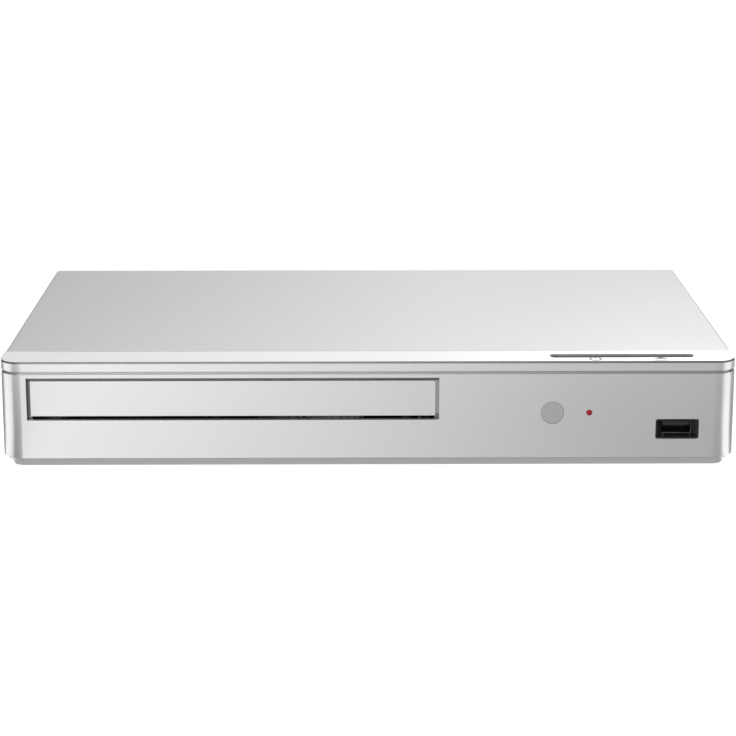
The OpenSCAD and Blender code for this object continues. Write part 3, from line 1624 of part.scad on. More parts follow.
module ac_inlet() {
    waist = 0.75;
    color(black) translate([inlet_x, 0, inlet_z]) difference() {
        union() {
            block([-inlet_w / 2 + fit_gap, socket_y - inlet_l, -inlet_h / 2 + fit_gap],
                [inlet_w / 2 - fit_gap, socket_y, inlet_h / 2 - fit_gap]);
            block([-inlet_w / 2, socket_y - inlet_l + over, -inlet_up],
                [inlet_w / 2, socket_y - inlet_l / 2, -inlet_h / 2 + over]);
        }
        for (sx = [-1, 1]) rod_along_y(sx * pin_pitch / 2, 0, socket_y - well_d, socket_y + over, well_r);
        block([-pin_pitch / 2, socket_y - well_d, -well_r * waist],
            [pin_pitch / 2, socket_y + over, well_r * waist]);
    }
}

module ac_pins() {
    color(steel) for (sx = [-1, 1])
        rod_along_y(inlet_x + sx * pin_pitch / 2, inlet_z, socket_y - well_d, socket_y - well_d + pin_l,
            pin_r);
}

// Wires between the two boards, with a plug at each end
harness_share = 0.82;

module power_harness() {
    wires = 6;
    wire_r = 0.7;
    pitch = 2;
    plug_w = 5;
    plug_h = 6;
    y0 = board_rear_y - power_board_l * harness_share;
    x0 = main_x1 - plug_w;
    x1 = power_x0 + plug_w;
    mid = (x0 + x1) / 2;
    reach = (x1 - x0) / 2;
    color(wire_white) for (i = [0 : wires - 1])
        translate([mid, y0 + i * pitch, pcb_top + plug_h]) rotate([90, 0, 0])
            rotate_extrude(angle = 180) translate([reach, 0]) circle(wire_r, $fn = 24);
    color(white_plastic) for (x = [x0, x1])
        block([x - plug_w / 2, y0 - pitch, pcb_top],
            [x + plug_w / 2, y0 + wires * pitch, pcb_top + plug_h]);
}

top_cover();
front_panel();
top_trim();
base_plate();
rear_panel();
rubber_feet();
cover_screws();
tray_door();
disc_tray();
remote_window();
power_lamp_lens();
front_socket_bezel();
front_socket_shell();
front_socket_tongue();
front_board();
remote_receiver();
power_lamp();
key_switches();
power_key();
eject_key();
power_plunger();
eject_plunger();
loader_frame();
clamper_bridge();
clamper_disc();
clamper_magnet();
clamper_cap();
loading_motor();
motor_pulley();
drive_belt();
pulley_gear();
tray_gear();
cam_slider();
loader_screws();
traverse_chassis();
guide_rods();
spindle_motor();
turntable();
centring_cone();
pickup_body();
screw_follower();
lens_holder();
lens();
feed_motor();
feed_screw();
pickup_ribbon();
main_board();
processor();
heat_sink();
board_capacitors();
video_socket_shell();
video_socket_tongue();
network_socket();
power_board();
transformer();
filter_capacitor();
fuse();
ac_inlet();
ac_pins();
power_harness();
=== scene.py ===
"""Looks of a slim silver disc player: camera, studio, finishes and fine trim."""
import json
import math
import random

import bmesh
import bpy
from mathutils import Matrix, Vector


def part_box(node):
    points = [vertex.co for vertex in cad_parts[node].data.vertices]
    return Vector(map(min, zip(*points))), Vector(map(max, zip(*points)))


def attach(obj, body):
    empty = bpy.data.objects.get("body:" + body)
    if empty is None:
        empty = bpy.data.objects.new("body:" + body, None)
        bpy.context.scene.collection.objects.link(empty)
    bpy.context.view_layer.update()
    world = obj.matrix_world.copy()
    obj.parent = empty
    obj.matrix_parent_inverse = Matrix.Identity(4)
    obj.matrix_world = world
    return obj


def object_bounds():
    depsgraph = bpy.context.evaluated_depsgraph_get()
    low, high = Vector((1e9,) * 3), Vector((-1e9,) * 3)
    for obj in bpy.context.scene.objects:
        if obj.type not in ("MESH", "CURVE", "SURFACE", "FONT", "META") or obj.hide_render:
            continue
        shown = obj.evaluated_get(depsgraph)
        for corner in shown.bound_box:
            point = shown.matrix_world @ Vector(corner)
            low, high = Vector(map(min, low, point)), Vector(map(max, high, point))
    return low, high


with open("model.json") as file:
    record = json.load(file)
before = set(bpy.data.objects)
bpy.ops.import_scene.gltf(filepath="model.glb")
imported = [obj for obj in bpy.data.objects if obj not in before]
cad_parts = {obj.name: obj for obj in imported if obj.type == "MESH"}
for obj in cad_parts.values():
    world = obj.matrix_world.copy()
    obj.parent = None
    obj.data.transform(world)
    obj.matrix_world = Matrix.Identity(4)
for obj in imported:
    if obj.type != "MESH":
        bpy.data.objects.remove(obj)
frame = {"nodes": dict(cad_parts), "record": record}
cad_low, cad_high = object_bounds()

MM = 0.001
MICRON = 0.000001
NODES = frame["nodes"]
FRONT_Y = cad_low.y
RIGHT_X = cad_high.x
TOP_Z = cad_high.z


# Camera, fitted to the photograph's edges

CAMERA_PLACE = (-0.0079, -1.00785, 0.27055)
CAMERA_TILT = 76.12
CAMERA_TURN = -0.48
IMAGE_SIDE = 736
FOCAL_PIXELS = 2230.36
SENSOR = 36


def make_camera():
    """Camera at the photograph's angle."""
    lens = bpy.data.cameras.new("camera")
    lens.sensor_width = SENSOR
    lens.lens = FOCAL_PIXELS * SENSOR / IMAGE_SIDE
    camera = bpy.data.objects.new("camera", lens)
    camera.location = CAMERA_PLACE
    camera.rotation_euler = (math.radians(CAMERA_TILT), 0, math.radians(CAMERA_TURN))
    bpy.context.collection.objects.link(camera)
    bpy.context.scene.camera = camera


# Helpers for shader nodes and for rectangles

def feed(tree, value, socket):
    """Links a socket to another one, or sets it where the value is a number or a colour."""
    if isinstance(value, bpy.types.NodeSocket):
        tree.links.new(value, socket)
    else:
        socket.default_value = value


def math_node(tree, operation, *values):
    """A math node over sockets and numbers, in their order."""
    node = tree.nodes.new("ShaderNodeMath")
    node.operation = operation
    for socket, value in zip(node.inputs, values):
        feed(tree, value, socket)
    return node.outputs[0]


def own_place(tree):
    """Where a point lies in its object's own frame."""
    return tree.nodes.new("ShaderNodeTexCoord").outputs["Object"]


def inside_box(tree, ranges):
    """1 inside some ranges of X, Y and Z, in that order, and 0 outside them."""
    split = tree.nodes.new("ShaderNodeSeparateXYZ")
    tree.links.new(own_place(tree), split.inputs[0])
    mask = None
    for axis, (low, high) in zip("XYZ", ranges):
        within = math_node(tree, "COMPARE", split.outputs[axis], (low + high) / 2, (high - low) / 2)
        mask = math_node(tree, "MULTIPLY", mask, within) if mask else within
    return mask


def four_corners(across, along):
    """Corners of a rectangle over two ranges, one after another round it."""
    return [(across[0], along[0]), (across[1], along[0]), (across[1], along[1]), (across[0], along[1])]


# Studio

# Each lamp: name, place, target, width, height and power
LAMPS = [("front_soft", (-0.3, -1.4, 0.6), (0.0, -0.09, 0.02), 0.9, 0.9, 15),
         ("right_side", (0.6, -0.1, 0.14), (0.155, -0.085, 0.02), 0.25, 0.25, 0.5),
         ("rear_right", (0.55, 0.9, 0.75), (0.05, -0.02, 0.05), 0.8, 0.4, 2.3),
         ("rear_strip", (0.15, 1.3, 0.8), (0.0, -0.08, 0.05), 1.4, 0.3, 1.3)]
WORLD_FILL = 0.06
WHITE = (1, 1, 1, 1)

FLOOR_COLOUR = (0.85, 0.85, 0.85, 1)
FLOOR_HALF = 4
FLOOR_BACK = 1.0
FLOOR_DROP = 0.2 * MM
# The floor's glow near the object, and how far off it starts and ends its rise to full white
FLOOR_GLOW = 0.85
GLOW_START = 0.5
GLOW_END = 1.3
# How far inside the object's outline the floor is dark
SHADE_IN = 12 * MM

# Cards flat on the floor: name, range of X, range of Y, tone, and its change per metre if it has one
FLAT_CARDS = [("card_under", (-0.154, 0.154), (-0.097, 0.09), 0.5),
              ("card_front", (-0.3, 0.117), (-0.5, -0.097), 0.93, (-4.1, 0, 0)),
              ("card_front_end", (0.117, 0.5), (-0.5, -0.097), 0.45)]
FLAT_LIFT = 0.5 * MM
# Cards that fan out from a front corner: name, side, two bearings from straight ahead, and tone
FAN_CARDS = [("card_left_dark", -1, 12, 54, 0.0), ("card_left_light", -1, 74, 112, 2.0),
             ("card_left_rear", -1, 116, 172, 0.15), ("card_right_dark", 1, 8, 42, 0.28),
             ("card_right_light", 1, 52, 97, 2.1), ("card_right_rear", 1, 100, 172, 0.3)]
CORNER_IN = 9 * MM
FAN_LIFT = 0.8 * MM
FAN_NEAR = 12 * MM
FAN_FAR = 260 * MM
# Upright cards behind: name, range of X, range of Z, tone at the origin, and its change per metre
BACK_CARDS = [("card_back_left", (-0.7, 0.1), (0.2, 0.55), -0.12, (1.08, 0, 2.8)),
              ("card_back_right", (0.1, 0.7), (0.2, 0.55), 0.088, (-1.0, 0, 2.8)),
              ("card_back_high", (-0.7, 0.7), (0.55, 0.95), 1.45, (1.1, 0, 0))]
BACK_CARD_Y = 1.5
BRIGHTEST_CARD = 2.0


def area_lamp(name, place, target, width, height, power):
    """Soft lamp that faces its target."""
    data = bpy.data.lights.new(name, "AREA")
    data.shape = "RECTANGLE"
    data.size = width
    data.size_y = height
    data.energy = power
    lamp = bpy.data.objects.new(name, data)
    lamp.location = place
    lamp.rotation_euler = (Vector(target) - Vector(place)).to_track_quat("-Z", "Y").to_euler()
    bpy.context.collection.objects.link(lamp)


def seen_directly(tree):
    """1 for camera, glossy and transmission rays, 0 for the rays that light the object."""
    path = tree.nodes.new("ShaderNodeLightPath")
    seen = path.outputs["Is Camera Ray"]
    for ray in ("Is Glossy Ray", "Is Transmission Ray"):
        seen = math_node(tree, "MAXIMUM", seen, path.outputs[ray])
    return seen


def make_world():
    """Faint even light on the object, and white behind it for the camera and for gloss."""
    world = bpy.data.worlds.new("studio")
    world.use_nodes = True
    tree = world.node_tree
    tree.nodes.clear()
    mix = tree.nodes.new("ShaderNodeMixShader")
    tree.links.new(seen_directly(tree), mix.inputs["Fac"])
    for socket, strength in ((mix.inputs[1], WORLD_FILL), (mix.inputs[2], 1.0)):
        light = tree.nodes.new("ShaderNodeBackground")
        light.inputs["Color"].default_value = WHITE
        light.inputs["Strength"].default_value = strength
        tree.links.new(light.outputs[0], socket)
    out = tree.nodes.new("ShaderNodeOutputWorld")
    tree.links.new(mix.outputs[0], out.inputs["Surface"])
    bpy.context.scene.world = world


def stage_sheet(name, corners):
    """Flat sheet of the studio with an empty material, and that material's node tree."""
    mesh = bpy.data.meshes.new(name)
    mesh.from_pydata(corners, [], [(0, 1, 2, 3)])
    sheet = bpy.data.objects.new(name, mesh)
    bpy.context.collection.objects.link(sheet)
    material = bpy.data.materials.new(name)
    material.use_nodes = True
    material.node_tree.nodes.clear()
    mesh.materials.append(material)
    return sheet, material.node_tree


def open_floor(tree):
    """1 on the open floor, 0 under the object, where no light reaches."""
    under = inside_box(tree, [(cad_low.x + SHADE_IN, cad_high.x - SHADE_IN),
                              (cad_low.y + SHADE_IN, cad_high.y - SHADE_IN)])
    return math_node(tree, "SUBTRACT", 1, under)


def floor_glow(tree):
    """The floor's own level, which leaves room for the shadow and is full white far off."""
    away = tree.nodes.new("ShaderNodeVectorMath")
    away.operation = "LENGTH"
    tree.links.new(own_place(tree), away.inputs[0])
    rise = tree.nodes.new("ShaderNodeMapRange")
    ends = {"From Min": GLOW_START, "From Max": GLOW_END, "To Min": FLOOR_GLOW, "To Max": 1.0}
    for label, value in ends.items():
        rise.inputs[label].default_value = value
    tree.links.new(away.outputs["Value"], rise.inputs["Value"])
    return rise.outputs[0]


def make_floor():
    """Pale floor that reads as white and keeps the object's shadow."""
    corners = four_corners((-FLOOR_HALF, FLOOR_HALF), (-FLOOR_HALF, FLOOR_BACK))
    floor, tree = stage_sheet("floor", [(x, y, 0) for x, y in corners])
    floor.location.z = -FLOOR_DROP
    diffuse = tree.nodes.new("ShaderNodeBsdfDiffuse")
    diffuse.inputs["Color"].default_value = FLOOR_COLOUR
    glow = tree.nodes.new("ShaderNodeEmission")
    level = math_node(tree, "MULTIPLY", seen_directly(tree), floor_glow(tree))
    level = math_node(tree, "MULTIPLY", level, open_floor(tree))
    tree.links.new(level, glow.inputs["Strength"])
    both = tree.nodes.new("ShaderNodeAddShader")
    tree.links.new(diffuse.outputs[0], both.inputs[0])
    tree.links.new(glow.outputs[0], both.inputs[1])
    out = tree.nodes.new("ShaderNodeOutputMaterial")
    tree.links.new(both.outputs[0], out.inputs["Surface"])


def sloped_tone(tree, tone, slope):
    """Tone that changes evenly over a card: its value at the origin and its change per metre."""
    along = tree.nodes.new("ShaderNodeVectorMath")
    along.operation = "DOT_PRODUCT"
    along.inputs[1].default_value = slope
    tree.links.new(own_place(tree), along.inputs[0])
    level = math_node(tree, "ADD", along.outputs["Value"], tone)
    level = math_node(tree, "MAXIMUM", level, 0.0)
    return math_node(tree, "MINIMUM", level, BRIGHTEST_CARD)


def gloss_card(name, corners, tone, slope=None):
    """Card that only gloss on the object shows, as a studio flag or reflector does."""
    card, tree = stage_sheet(name, corners)
    glow = tree.nodes.new("ShaderNodeEmission")
    feed(tree, sloped_tone(tree, tone, slope) if slope else tone, glow.inputs["Strength"])
    out = tree.nodes.new("ShaderNodeOutputMaterial")
    tree.links.new(glow.outputs[0], out.inputs["Surface"])
    card.visible_camera = False
    card.visible_diffuse = False
    card.visible_shadow = False
    card.visible_transmission = False


def flat_card(name, across, along, *tones):
    """Card flat on the floor over a range of X and a range of Y."""
    gloss_card(name, [(x, y, FLAT_LIFT) for x, y in four_corners(across, along)], *tones)


def fan_card(name, side, start, end, tone):
    """Card on the floor that spreads from under a front corner, between two bearings."""
    middle = Vector((side * (RIGHT_X - CORNER_IN), FRONT_Y + CORNER_IN, FAN_LIFT))
    ways = [Vector((side * math.sin(a), -math.cos(a), 0)) for a in map(math.radians, (start, end))]
    near, far = [[middle + way * reach for way in ways] for reach in (FAN_NEAR, FAN_FAR)]
    gloss_card(name, [*near, *reversed(far)], tone)


def back_card(name, across, up, *tones):
    """Upright card behind the object, which its top and slope show."""
    gloss_card(name, [(x, BACK_CARD_Y, z) for x, z in four_corners(across, up)], *tones)


def make_studio():
    make_world()
    make_floor()
    for make, rows in ((area_lamp, LAMPS), (flat_card, FLAT_CARDS), (fan_card, FAN_CARDS),
                       (back_card, BACK_CARDS)):
        for row in rows:
            make(*row)


# Shader effects shared by the finishes

EDGE_SAMPLES = 4
EDGE_STRENGTH = 6.0
EDGE_NOISE = 220.0
DUST_NOISE = 70.0
BRUSH_STRETCH = (0.02, 1, 1)


def new_group(name, inputs, outputs):
    """Empty node group with value inputs (name, default) and value outputs (name)."""
    group = bpy.data.node_groups.new(name, "ShaderNodeTree")
    for label, default in inputs:
        socket = group.interface.new_socket(label, in_out="INPUT", socket_type="NodeSocketFloat")
        socket.default_value = default
    for label in outputs:
        group.interface.new_socket(label, in_out="OUTPUT", socket_type="NodeSocketFloat")
    return group, group.nodes.new("NodeGroupInput"), group.nodes.new("NodeGroupOutput")


def noise_node(tree, place, scale, detail=2.0):
    """Noise from 0 to 1 over a place; its scale is a number or a socket."""
    noise = tree.nodes.new("ShaderNodeTexNoise")
    noise.inputs["Detail"].default_value = detail
    tree.links.new(place, noise.inputs["Vector"])
    feed(tree, scale, noise.inputs["Scale"])
    return noise.outputs["Fac"]


def grain_group():
    """Fine moulded or painted grain and a slow drift, both centred on zero."""
    group, given, out = new_group(
        "surface_grain", [("Grain Scale", 900.0), ("Drift Scale", 9.0)], ["Grain", "Drift"])
    place = own_place(group)
    for label, detail in (("Grain", 2.0), ("Drift", 3.0)):
        noise = noise_node(group, place, given.outputs[label + " Scale"], detail=detail)
        group.links.new(math_node(group, "SUBTRACT", noise, 0.5), out.inputs[label])
    return group


def edge_group():
    """How near a point is to a sharp edge: 1 on it, 0 away from it, broken up by noise."""
    group, given, out = new_group("edge_mask", [("Radius", 0.4 * MM), ("Break Up", 0.6)], ["Mask"])
    bevel = group.nodes.new("ShaderNodeBevel")
    bevel.samples = EDGE_SAMPLES
    group.links.new(given.outputs["Radius"], bevel.inputs["Radius"])
    flat = group.nodes.new("ShaderNodeNewGeometry")
    dot = group.nodes.new("ShaderNodeVectorMath")
    dot.operation = "DOT_PRODUCT"
    group.links.new(bevel.outputs["Normal"], dot.inputs[0])
    group.links.new(flat.outputs["Normal"], dot.inputs[1])
    turned_away = math_node(group, "SUBTRACT", 1.0, dot.outputs["Value"])
    strong = math_node(group, "MULTIPLY", turned_away, EDGE_STRENGTH)
    noise = noise_node(group, own_place(group), EDGE_NOISE)
    uneven = math_node(group, "MULTIPLY", noise, given.outputs["Break Up"])
    limit = group.nodes.new("ShaderNodeClamp")
    group.links.new(math_node(group, "SUBTRACT", strong, uneven), limit.inputs["Value"])
    group.links.new(limit.outputs[0], out.inputs["Mask"])
    return group


def dust_group():
    """Faint dust that settles on faces that look up."""
    group, given, out = new_group("dust_mask", [("Amount", 0.1)], ["Mask"])
    facing = group.nodes.new("ShaderNodeNewGeometry")
    split = group.nodes.new("ShaderNodeSeparateXYZ")
    group.links.new(facing.outputs["Normal"], split.inputs[0])
    noise = noise_node(group, own_place(group), DUST_NOISE, detail=6.0)
    up = math_node(group, "MAXIMUM", split.outputs["Z"], 0.0)
    patchy = math_node(group, "MULTIPLY", up, noise)
    some = math_node(group, "MULTIPLY", patchy, given.outputs["Amount"])
    group.links.new(some, out.inputs["Mask"])
    return group


def brush_group():
    """Long fine scratches along X, for drawn and brushed metal, centred on zero."""
    group, given, out = new_group("brushed_lines", [("Fineness", 2600.0)], ["Lines"])
    stretch = group.nodes.new("ShaderNodeMapping")
    stretch.inputs["Scale"].default_value = BRUSH_STRETCH
    group.links.new(own_place(group), stretch.inputs["Vector"])
    noise = noise_node(group, stretch.outputs[0], given.outputs["Fineness"], detail=3.0)
    group.links.new(math_node(group, "SUBTRACT", noise, 0.5), out.inputs["Lines"])
    return group


GRAIN, EDGE, DUST, BRUSH = grain_group(), edge_group(), dust_group(), brush_group()


# Finishes in general

DUST_COLOUR = (0.55, 0.53, 0.5)
# Painted shade in grooves and gaps: its reach, strength, samples and colour
CREVICE_REACH = 1.6 * MM
CREVICE_SHARE = 0.9
CREVICE_SAMPLES = 8
CREVICE_SHADE = (0.02, 0.02, 0.021)
# Colour of the shade painted into some places of the silver paint
PAINTED_SHADE_COLOUR = (0.03, 0.03, 0.031)
BRUSH_CONTRAST = 2.0
BRUSH_SHARE = 0.4


def toned(colour, factor, lift=0.0):
    """A colour made darker or lighter."""
    return tuple(c * factor + lift for c in colour)


class Finish:
    """One surface finish under construction: a Principled shader and the nodes that vary it."""

    def __init__(self, name, colour, metallic, roughness, **plain):
        self.material = bpy.data.materials.new(name)
        self.material.use_nodes = True
        self.tree = self.material.node_tree
        self.shader = self.tree.nodes["Principled BSDF"]
        self.base = colour
        self.roughness = roughness
        self.laid = (*colour, 1)
        plain.update(Base_Color=self.laid, Metallic=metallic, Roughness=roughness)
        for label, value in plain.items():
            self.shader.inputs[label.replace("_", " ")].default_value = value

    def group(self, tree, **values):
        """Places a shared effect in this finish with its own values."""
        node = self.tree.nodes.new("ShaderNodeGroup")
        node.node_tree = tree
        for label, value in values.items():
            node.inputs[label.replace("_", " ")].default_value = value
        return node

    def scaled(self, socket, factor, offset=0.0):
        """A socket times a factor plus an offset, which is a number or a socket."""
        return math_node(self.tree, "MULTIPLY_ADD", socket, factor, offset)

    def blend_colour(self, mask, other):
        """Lays another colour over what is there, through a mask from 0 to 1."""
        mix = self.tree.nodes.new("ShaderNodeMix")
        mix.data_type = "RGBA"
        mix.clamp_factor = True
        feed(self.tree, mask, mix.inputs["Factor"])
        feed(self.tree, self.laid, mix.inputs["A"])
        feed(self.tree, (*other, 1), mix.inputs["B"])
        self.laid = mix.outputs["Result"]
        self.tree.links.new(self.laid, self.shader.inputs["Base Color"])

    def bump(self, socket, height):
        """Adds relief to what is there."""
        bump = self.tree.nodes.new("ShaderNodeBump")
        bump.inputs["Distance"].default_value = height
        old = self.shader.inputs["Normal"].links
        if old:
            self.tree.links.new(old[0].from_socket, bump.inputs["Normal"])
        self.tree.links.new(socket, bump.inputs["Height"])
        self.tree.links.new(bump.outputs["Normal"], self.shader.inputs["Normal"])

    def surface(self, grain=900.0, drift=9.0, rough_grain=0.06, rough_drift=0.08, tone=0.05,
                height=20 * MICRON):
        """Grain in the height and roughness, slow drift in the roughness and tone."""
        node = self.group(GRAIN, Grain_Scale=grain, Drift_Scale=drift)
        fine = self.scaled(node.outputs["Grain"], rough_grain, self.roughness)
        slow = self.scaled(node.outputs["Drift"], rough_drift, fine)
        self.tree.links.new(slow, self.shader.inputs["Roughness"])
        self.blend_colour(self.scaled(node.outputs["Drift"], 1.0, 0.5), toned(self.base, 1 - 2 * tone))
        self.bump(node.outputs["Grain"], height)
        return self

    def edge_wear_and_highlight(self, colour, radius=0.4 * MM, break_up=0.6, amount=0.6):
        """Lays another colour on the sharp edges: rubbed wear on some finishes, a painted highlight on
        the silver paint and the moulded plastic.
        """
        mask = self.group(EDGE, Radius=radius, Break_Up=break_up)
        self.blend_colour(self.scaled(mask.outputs["Mask"], amount), colour)
        return self

    def dusty(self, amount):
        """Lets dust settle on the faces that look up."""
        self.blend_colour(self.group(DUST, Amount=amount).outputs["Mask"], DUST_COLOUR)
        return self

    def paint_crevice_shade(self):
        """Paints shade into grooves and gaps, darker where nearby faces close them in."""
        near = self.tree.nodes.new("ShaderNodeAmbientOcclusion")
        near.samples = CREVICE_SAMPLES
        near.inputs["Distance"].default_value = CREVICE_REACH
        self.blend_colour(self.scaled(near.outputs["AO"], -CREVICE_SHARE, CREVICE_SHARE), CREVICE_SHADE)
        return self

    def paint_shade_in(self, places):
        """Paints shade in some places: ranges of X, Y and Z, and the share of shade."""
        for *ranges, share in places:
            self.blend_colour(self.scaled(inside_box(self.tree, ranges), share), PAINTED_SHADE_COLOUR)
        return self

    def brushed(self, fineness, depth, tone):
        """Fine lines in the height and the tone."""
        lines = self.group(BRUSH, Fineness=fineness).outputs["Lines"]
        self.bump(lines, depth)
        self.blend_colour(self.scaled(lines, BRUSH_CONTRAST, BRUSH_SHARE), toned(self.base, 1 - tone))
        return self


# Painted highlight along the silver paint's sharp edges
PAINTED_EDGE_HIGHLIGHT = (0.82, 0.82, 0.83)
STEEL_EDGE = (0.8, 0.81, 0.83)
# Painted highlight on moulded edges, added to the plastic's colour
MOULDED_EDGE_HIGHLIGHT = (0.06, 0.06, 0.062)
# Tracks on a circuit board: the brick pattern that they follow, their share, tone and relief
TRACK_PATTERN = {"Scale": 55.0, "Mortar Size": 0.03, "Color1": WHITE, "Color2": (0.75, 0.75, 0.75, 1),
                 "Mortar": (0, 0, 0, 1)}
TRACK_SHARE = 0.55
TRACK_LIGHTER = 1.9
TRACK_LIFT = 0.01
TRACK_HEIGHT = 40 * MICRON


def silver_paint(name, colour):
    """Satin silver: flake under a thin lacquer, a painted highlight along the sharp edges and painted
    shade in the grooves.
    """
    paint = Finish(name, colour, 0.55, 0.3, Coat_Weight=0.12, Coat_Roughness=0.22)
    paint.surface(grain=2200.0, drift=6.0, rough_grain=0.05, rough_drift=0.05, tone=0.012,
                  height=4 * MICRON)
    return paint.edge_wear_and_highlight(PAINTED_EDGE_HIGHLIGHT, radius=0.3 * MM, break_up=0.5, amount=0.12).paint_crevice_shade()


def bright_steel(name, colour, roughness):
    """Bare polished metal."""
    steel = Finish(name, colour, 1.0, roughness)
    steel.surface(grain=1600.0, drift=60.0, rough_grain=0.1, rough_drift=0.12, tone=0.06,
                  height=3 * MICRON)
    return steel.edge_wear_and_highlight(STEEL_EDGE, amount=0.5)


def moulded(name, colour, roughness, grain=1400.0, height=20 * MICRON, dust=0.1):
    """Moulded plastic: fine spark grain, a little dust on top and a painted highlight on the edges,
    where they would catch the light.
    """
    plastic = Finish(name, colour, 0.0, roughness)
    plastic.surface(grain=grain, drift=30.0, rough_grain=0.14, rough_drift=0.12, tone=0.07,
                    height=height)
    edge_highlight = tuple(c + lift for c, lift in zip(colour, MOULDED_EDGE_HIGHLIGHT))
    plastic.edge_wear_and_highlight(edge_highlight, radius=0.3 * MM, break_up=0.8, amount=0.5)
    return plastic.dusty(dust) if dust else plastic


def solder_mask(name, colour):
    """Circuit board: lacquer over copper, with faint track relief."""
    board = Finish(name, colour, 0.0, 0.32, Coat_Weight=0.25, Coat_Roughness=0.15)
    board.surface(drift=70.0, rough_grain=0.1, rough_drift=0.14, tone=0.12, height=10 * MICRON)
    tracks = board.tree.nodes.new("ShaderNodeTexBrick")
    for label, value in TRACK_PATTERN.items():
        tracks.inputs[label].default_value = value
    board.tree.links.new(own_place(board.tree), tracks.inputs["Vector"])
    board.blend_colour(board.scaled(tracks.outputs["Fac"], TRACK_SHARE),
                       toned(colour, TRACK_LIGHTER, TRACK_LIFT))
    board.bump(tracks.outputs["Fac"], TRACK_HEIGHT)
    return board.dusty(0.08)


# Finishes of the painted front and cover, and where shade is painted on them

SILVER = (0.62, 0.62, 0.63)
PANEL_SILVER = (0.63, 0.63, 0.64)
TRIM_SILVER = (0.65, 0.65, 0.66)

# Each place: its ranges of X, Y and Z, and the share of painted shade

# Painted shade on the ledge behind the door, as the gap round the door shows it
door_low, door_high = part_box("tray_door")
LEDGE_LEFT = door_low.x - 1.8 * MM
LEDGE_RIGHT = door_high.x + 1.8 * MM
LEDGE_Y = (FRONT_Y + 0.7 * MM, FRONT_Y + 5 * MM)
LEDGE_FOOT = door_low.z - 1.4 * MM
LEDGE_TOP = door_high.z + 1.9 * MM
RIGHT_GAP_X = door_high.x - 0.7 * MM
TOP_GAP_Z = door_high.z - 0.3 * MM
FOOT_GAP_Z = door_low.z + 0.3 * MM
LEDGE_SHADES = [((LEDGE_LEFT, RIGHT_GAP_X), LEDGE_Y, (LEDGE_FOOT, TOP_GAP_Z), 0.75),
                ((LEDGE_LEFT, LEDGE_RIGHT), LEDGE_Y, (TOP_GAP_Z, LEDGE_TOP), 0.8),
                ((RIGHT_GAP_X, LEDGE_RIGHT), LEDGE_Y, (LEDGE_FOOT, FOOT_GAP_Z), 0.75),
                ((RIGHT_GAP_X, LEDGE_RIGHT), LEDGE_Y, (FOOT_GAP_Z, TOP_GAP_Z), 0.1)]

# Painted shade on the cover's two long folds, standing for their dark reflection
cover_low, cover_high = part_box("top_cover")
FOLD_IN = 1 * MM
FOLD_OUT = 0.6 * MM
FOLD_Y = (cover_low.y - FOLD_IN, cover_high.y + FOLD_IN)
FOLD_Z = (cover_high.z - 2 * FOLD_IN, cover_high.z + FOLD_IN)
FOLD_SHADES = [((cover_low.x - FOLD_OUT, cover_low.x + FOLD_IN), FOLD_Y, FOLD_Z, 0.5),
               ((cover_high.x - FOLD_IN, cover_high.x + FOLD_OUT), FOLD_Y, FOLD_Z, 0.55)]

# Painted shade in the fine line under the edge of the trim's slope
trim_low, trim_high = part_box("top_trim")
LINE_Y = (trim_low.y + 0.2 * MM, trim_high.y)
LINE_Z = (trim_high.z - 2.2 * MM, trim_high.z - 1.3 * MM)
LINE_SHADES = [((trim_low.x, trim_high.x), LINE_Y, LINE_Z, 0.3)]


def cover_silver():
    """The cover's paint, with painted shade along the folded side edges."""
    return silver_paint("cover_silver", SILVER).paint_shade_in(FOLD_SHADES)


def panel_silver():
    """The panel's paint, with painted shade over the ledge behind the door."""
    return silver_paint("panel_silver", PANEL_SILVER).paint_shade_in(LEDGE_SHADES)


def trim_silver():
    """The trim's paint, with painted shade in the fine line under its edge."""
    return silver_paint("trim_silver", TRIM_SILVER).paint_shade_in(LINE_SHADES)


def door_silver():
    """The door's paint, the same silver as the panel's."""
    return silver_paint("door_silver", PANEL_SILVER)


# Finishes of the other outer pieces

def steel_sheet():
    """Zinc plated sheet with the rolling direction along X."""
    steel = Finish("steel_sheet", (0.5, 0.51, 0.53), 0.9, 0.36)
    steel.surface(grain=600.0, drift=26.0, rough_grain=0.12, rough_drift=0.2, tone=0.09,
                  height=6 * MICRON)
    return steel.brushed(2400.0, 4 * MICRON, 0.12).edge_wear_and_highlight((0.72, 0.73, 0.75), amount=0.5)


def rear_sheet():
    """Dark powder paint, rubbed to grey on its edges."""
    paint = Finish("rear_sheet", (0.06, 0.06, 0.063), 0.0, 0.55)
    paint.surface(grain=1200.0, drift=14.0, rough_grain=0.12, rough_drift=0.1, tone=0.1,
                  height=30 * MICRON)
    return paint.edge_wear_and_highlight((0.35, 0.35, 0.36), amount=0.4).dusty(0.06)


def foot_rubber():
    rubber = Finish("foot_rubber", (0.022, 0.022, 0.022), 0.0, 0.85)
    rubber.surface(grain=700.0, drift=40.0, rough_grain=0.1, rough_drift=0.1, tone=0.15,
                   height=40 * MICRON)
    return rubber.dusty(0.2)


def screw_steel():
    return bright_steel("screw_steel", (0.5, 0.5, 0.52), 0.3)


def window_grey():
    """Tinted window with a hard coat."""
    tint = Finish("window_grey", (0.45, 0.45, 0.455), 0.0, 0.28, Coat_Weight=0.5, Coat_Roughness=0.1)
    return tint.surface(grain=1500.0, drift=120.0, rough_grain=0.05, rough_drift=0.05, tone=0.05,
                        height=2 * MICRON)


def lamp_red():
    """Moulded red lens, lit faintly from behind."""
    lens = Finish("lamp_red", (0.26, 0.004, 0.016), 0.0, 0.3, Emission_Strength=0.12,
                  Emission_Color=(0.8, 0.004, 0.03, 1))
    return lens.surface(grain=1800.0, drift=200.0, rough_grain=0.08, rough_drift=0.06, tone=0.12,
                        height=4 * MICRON)


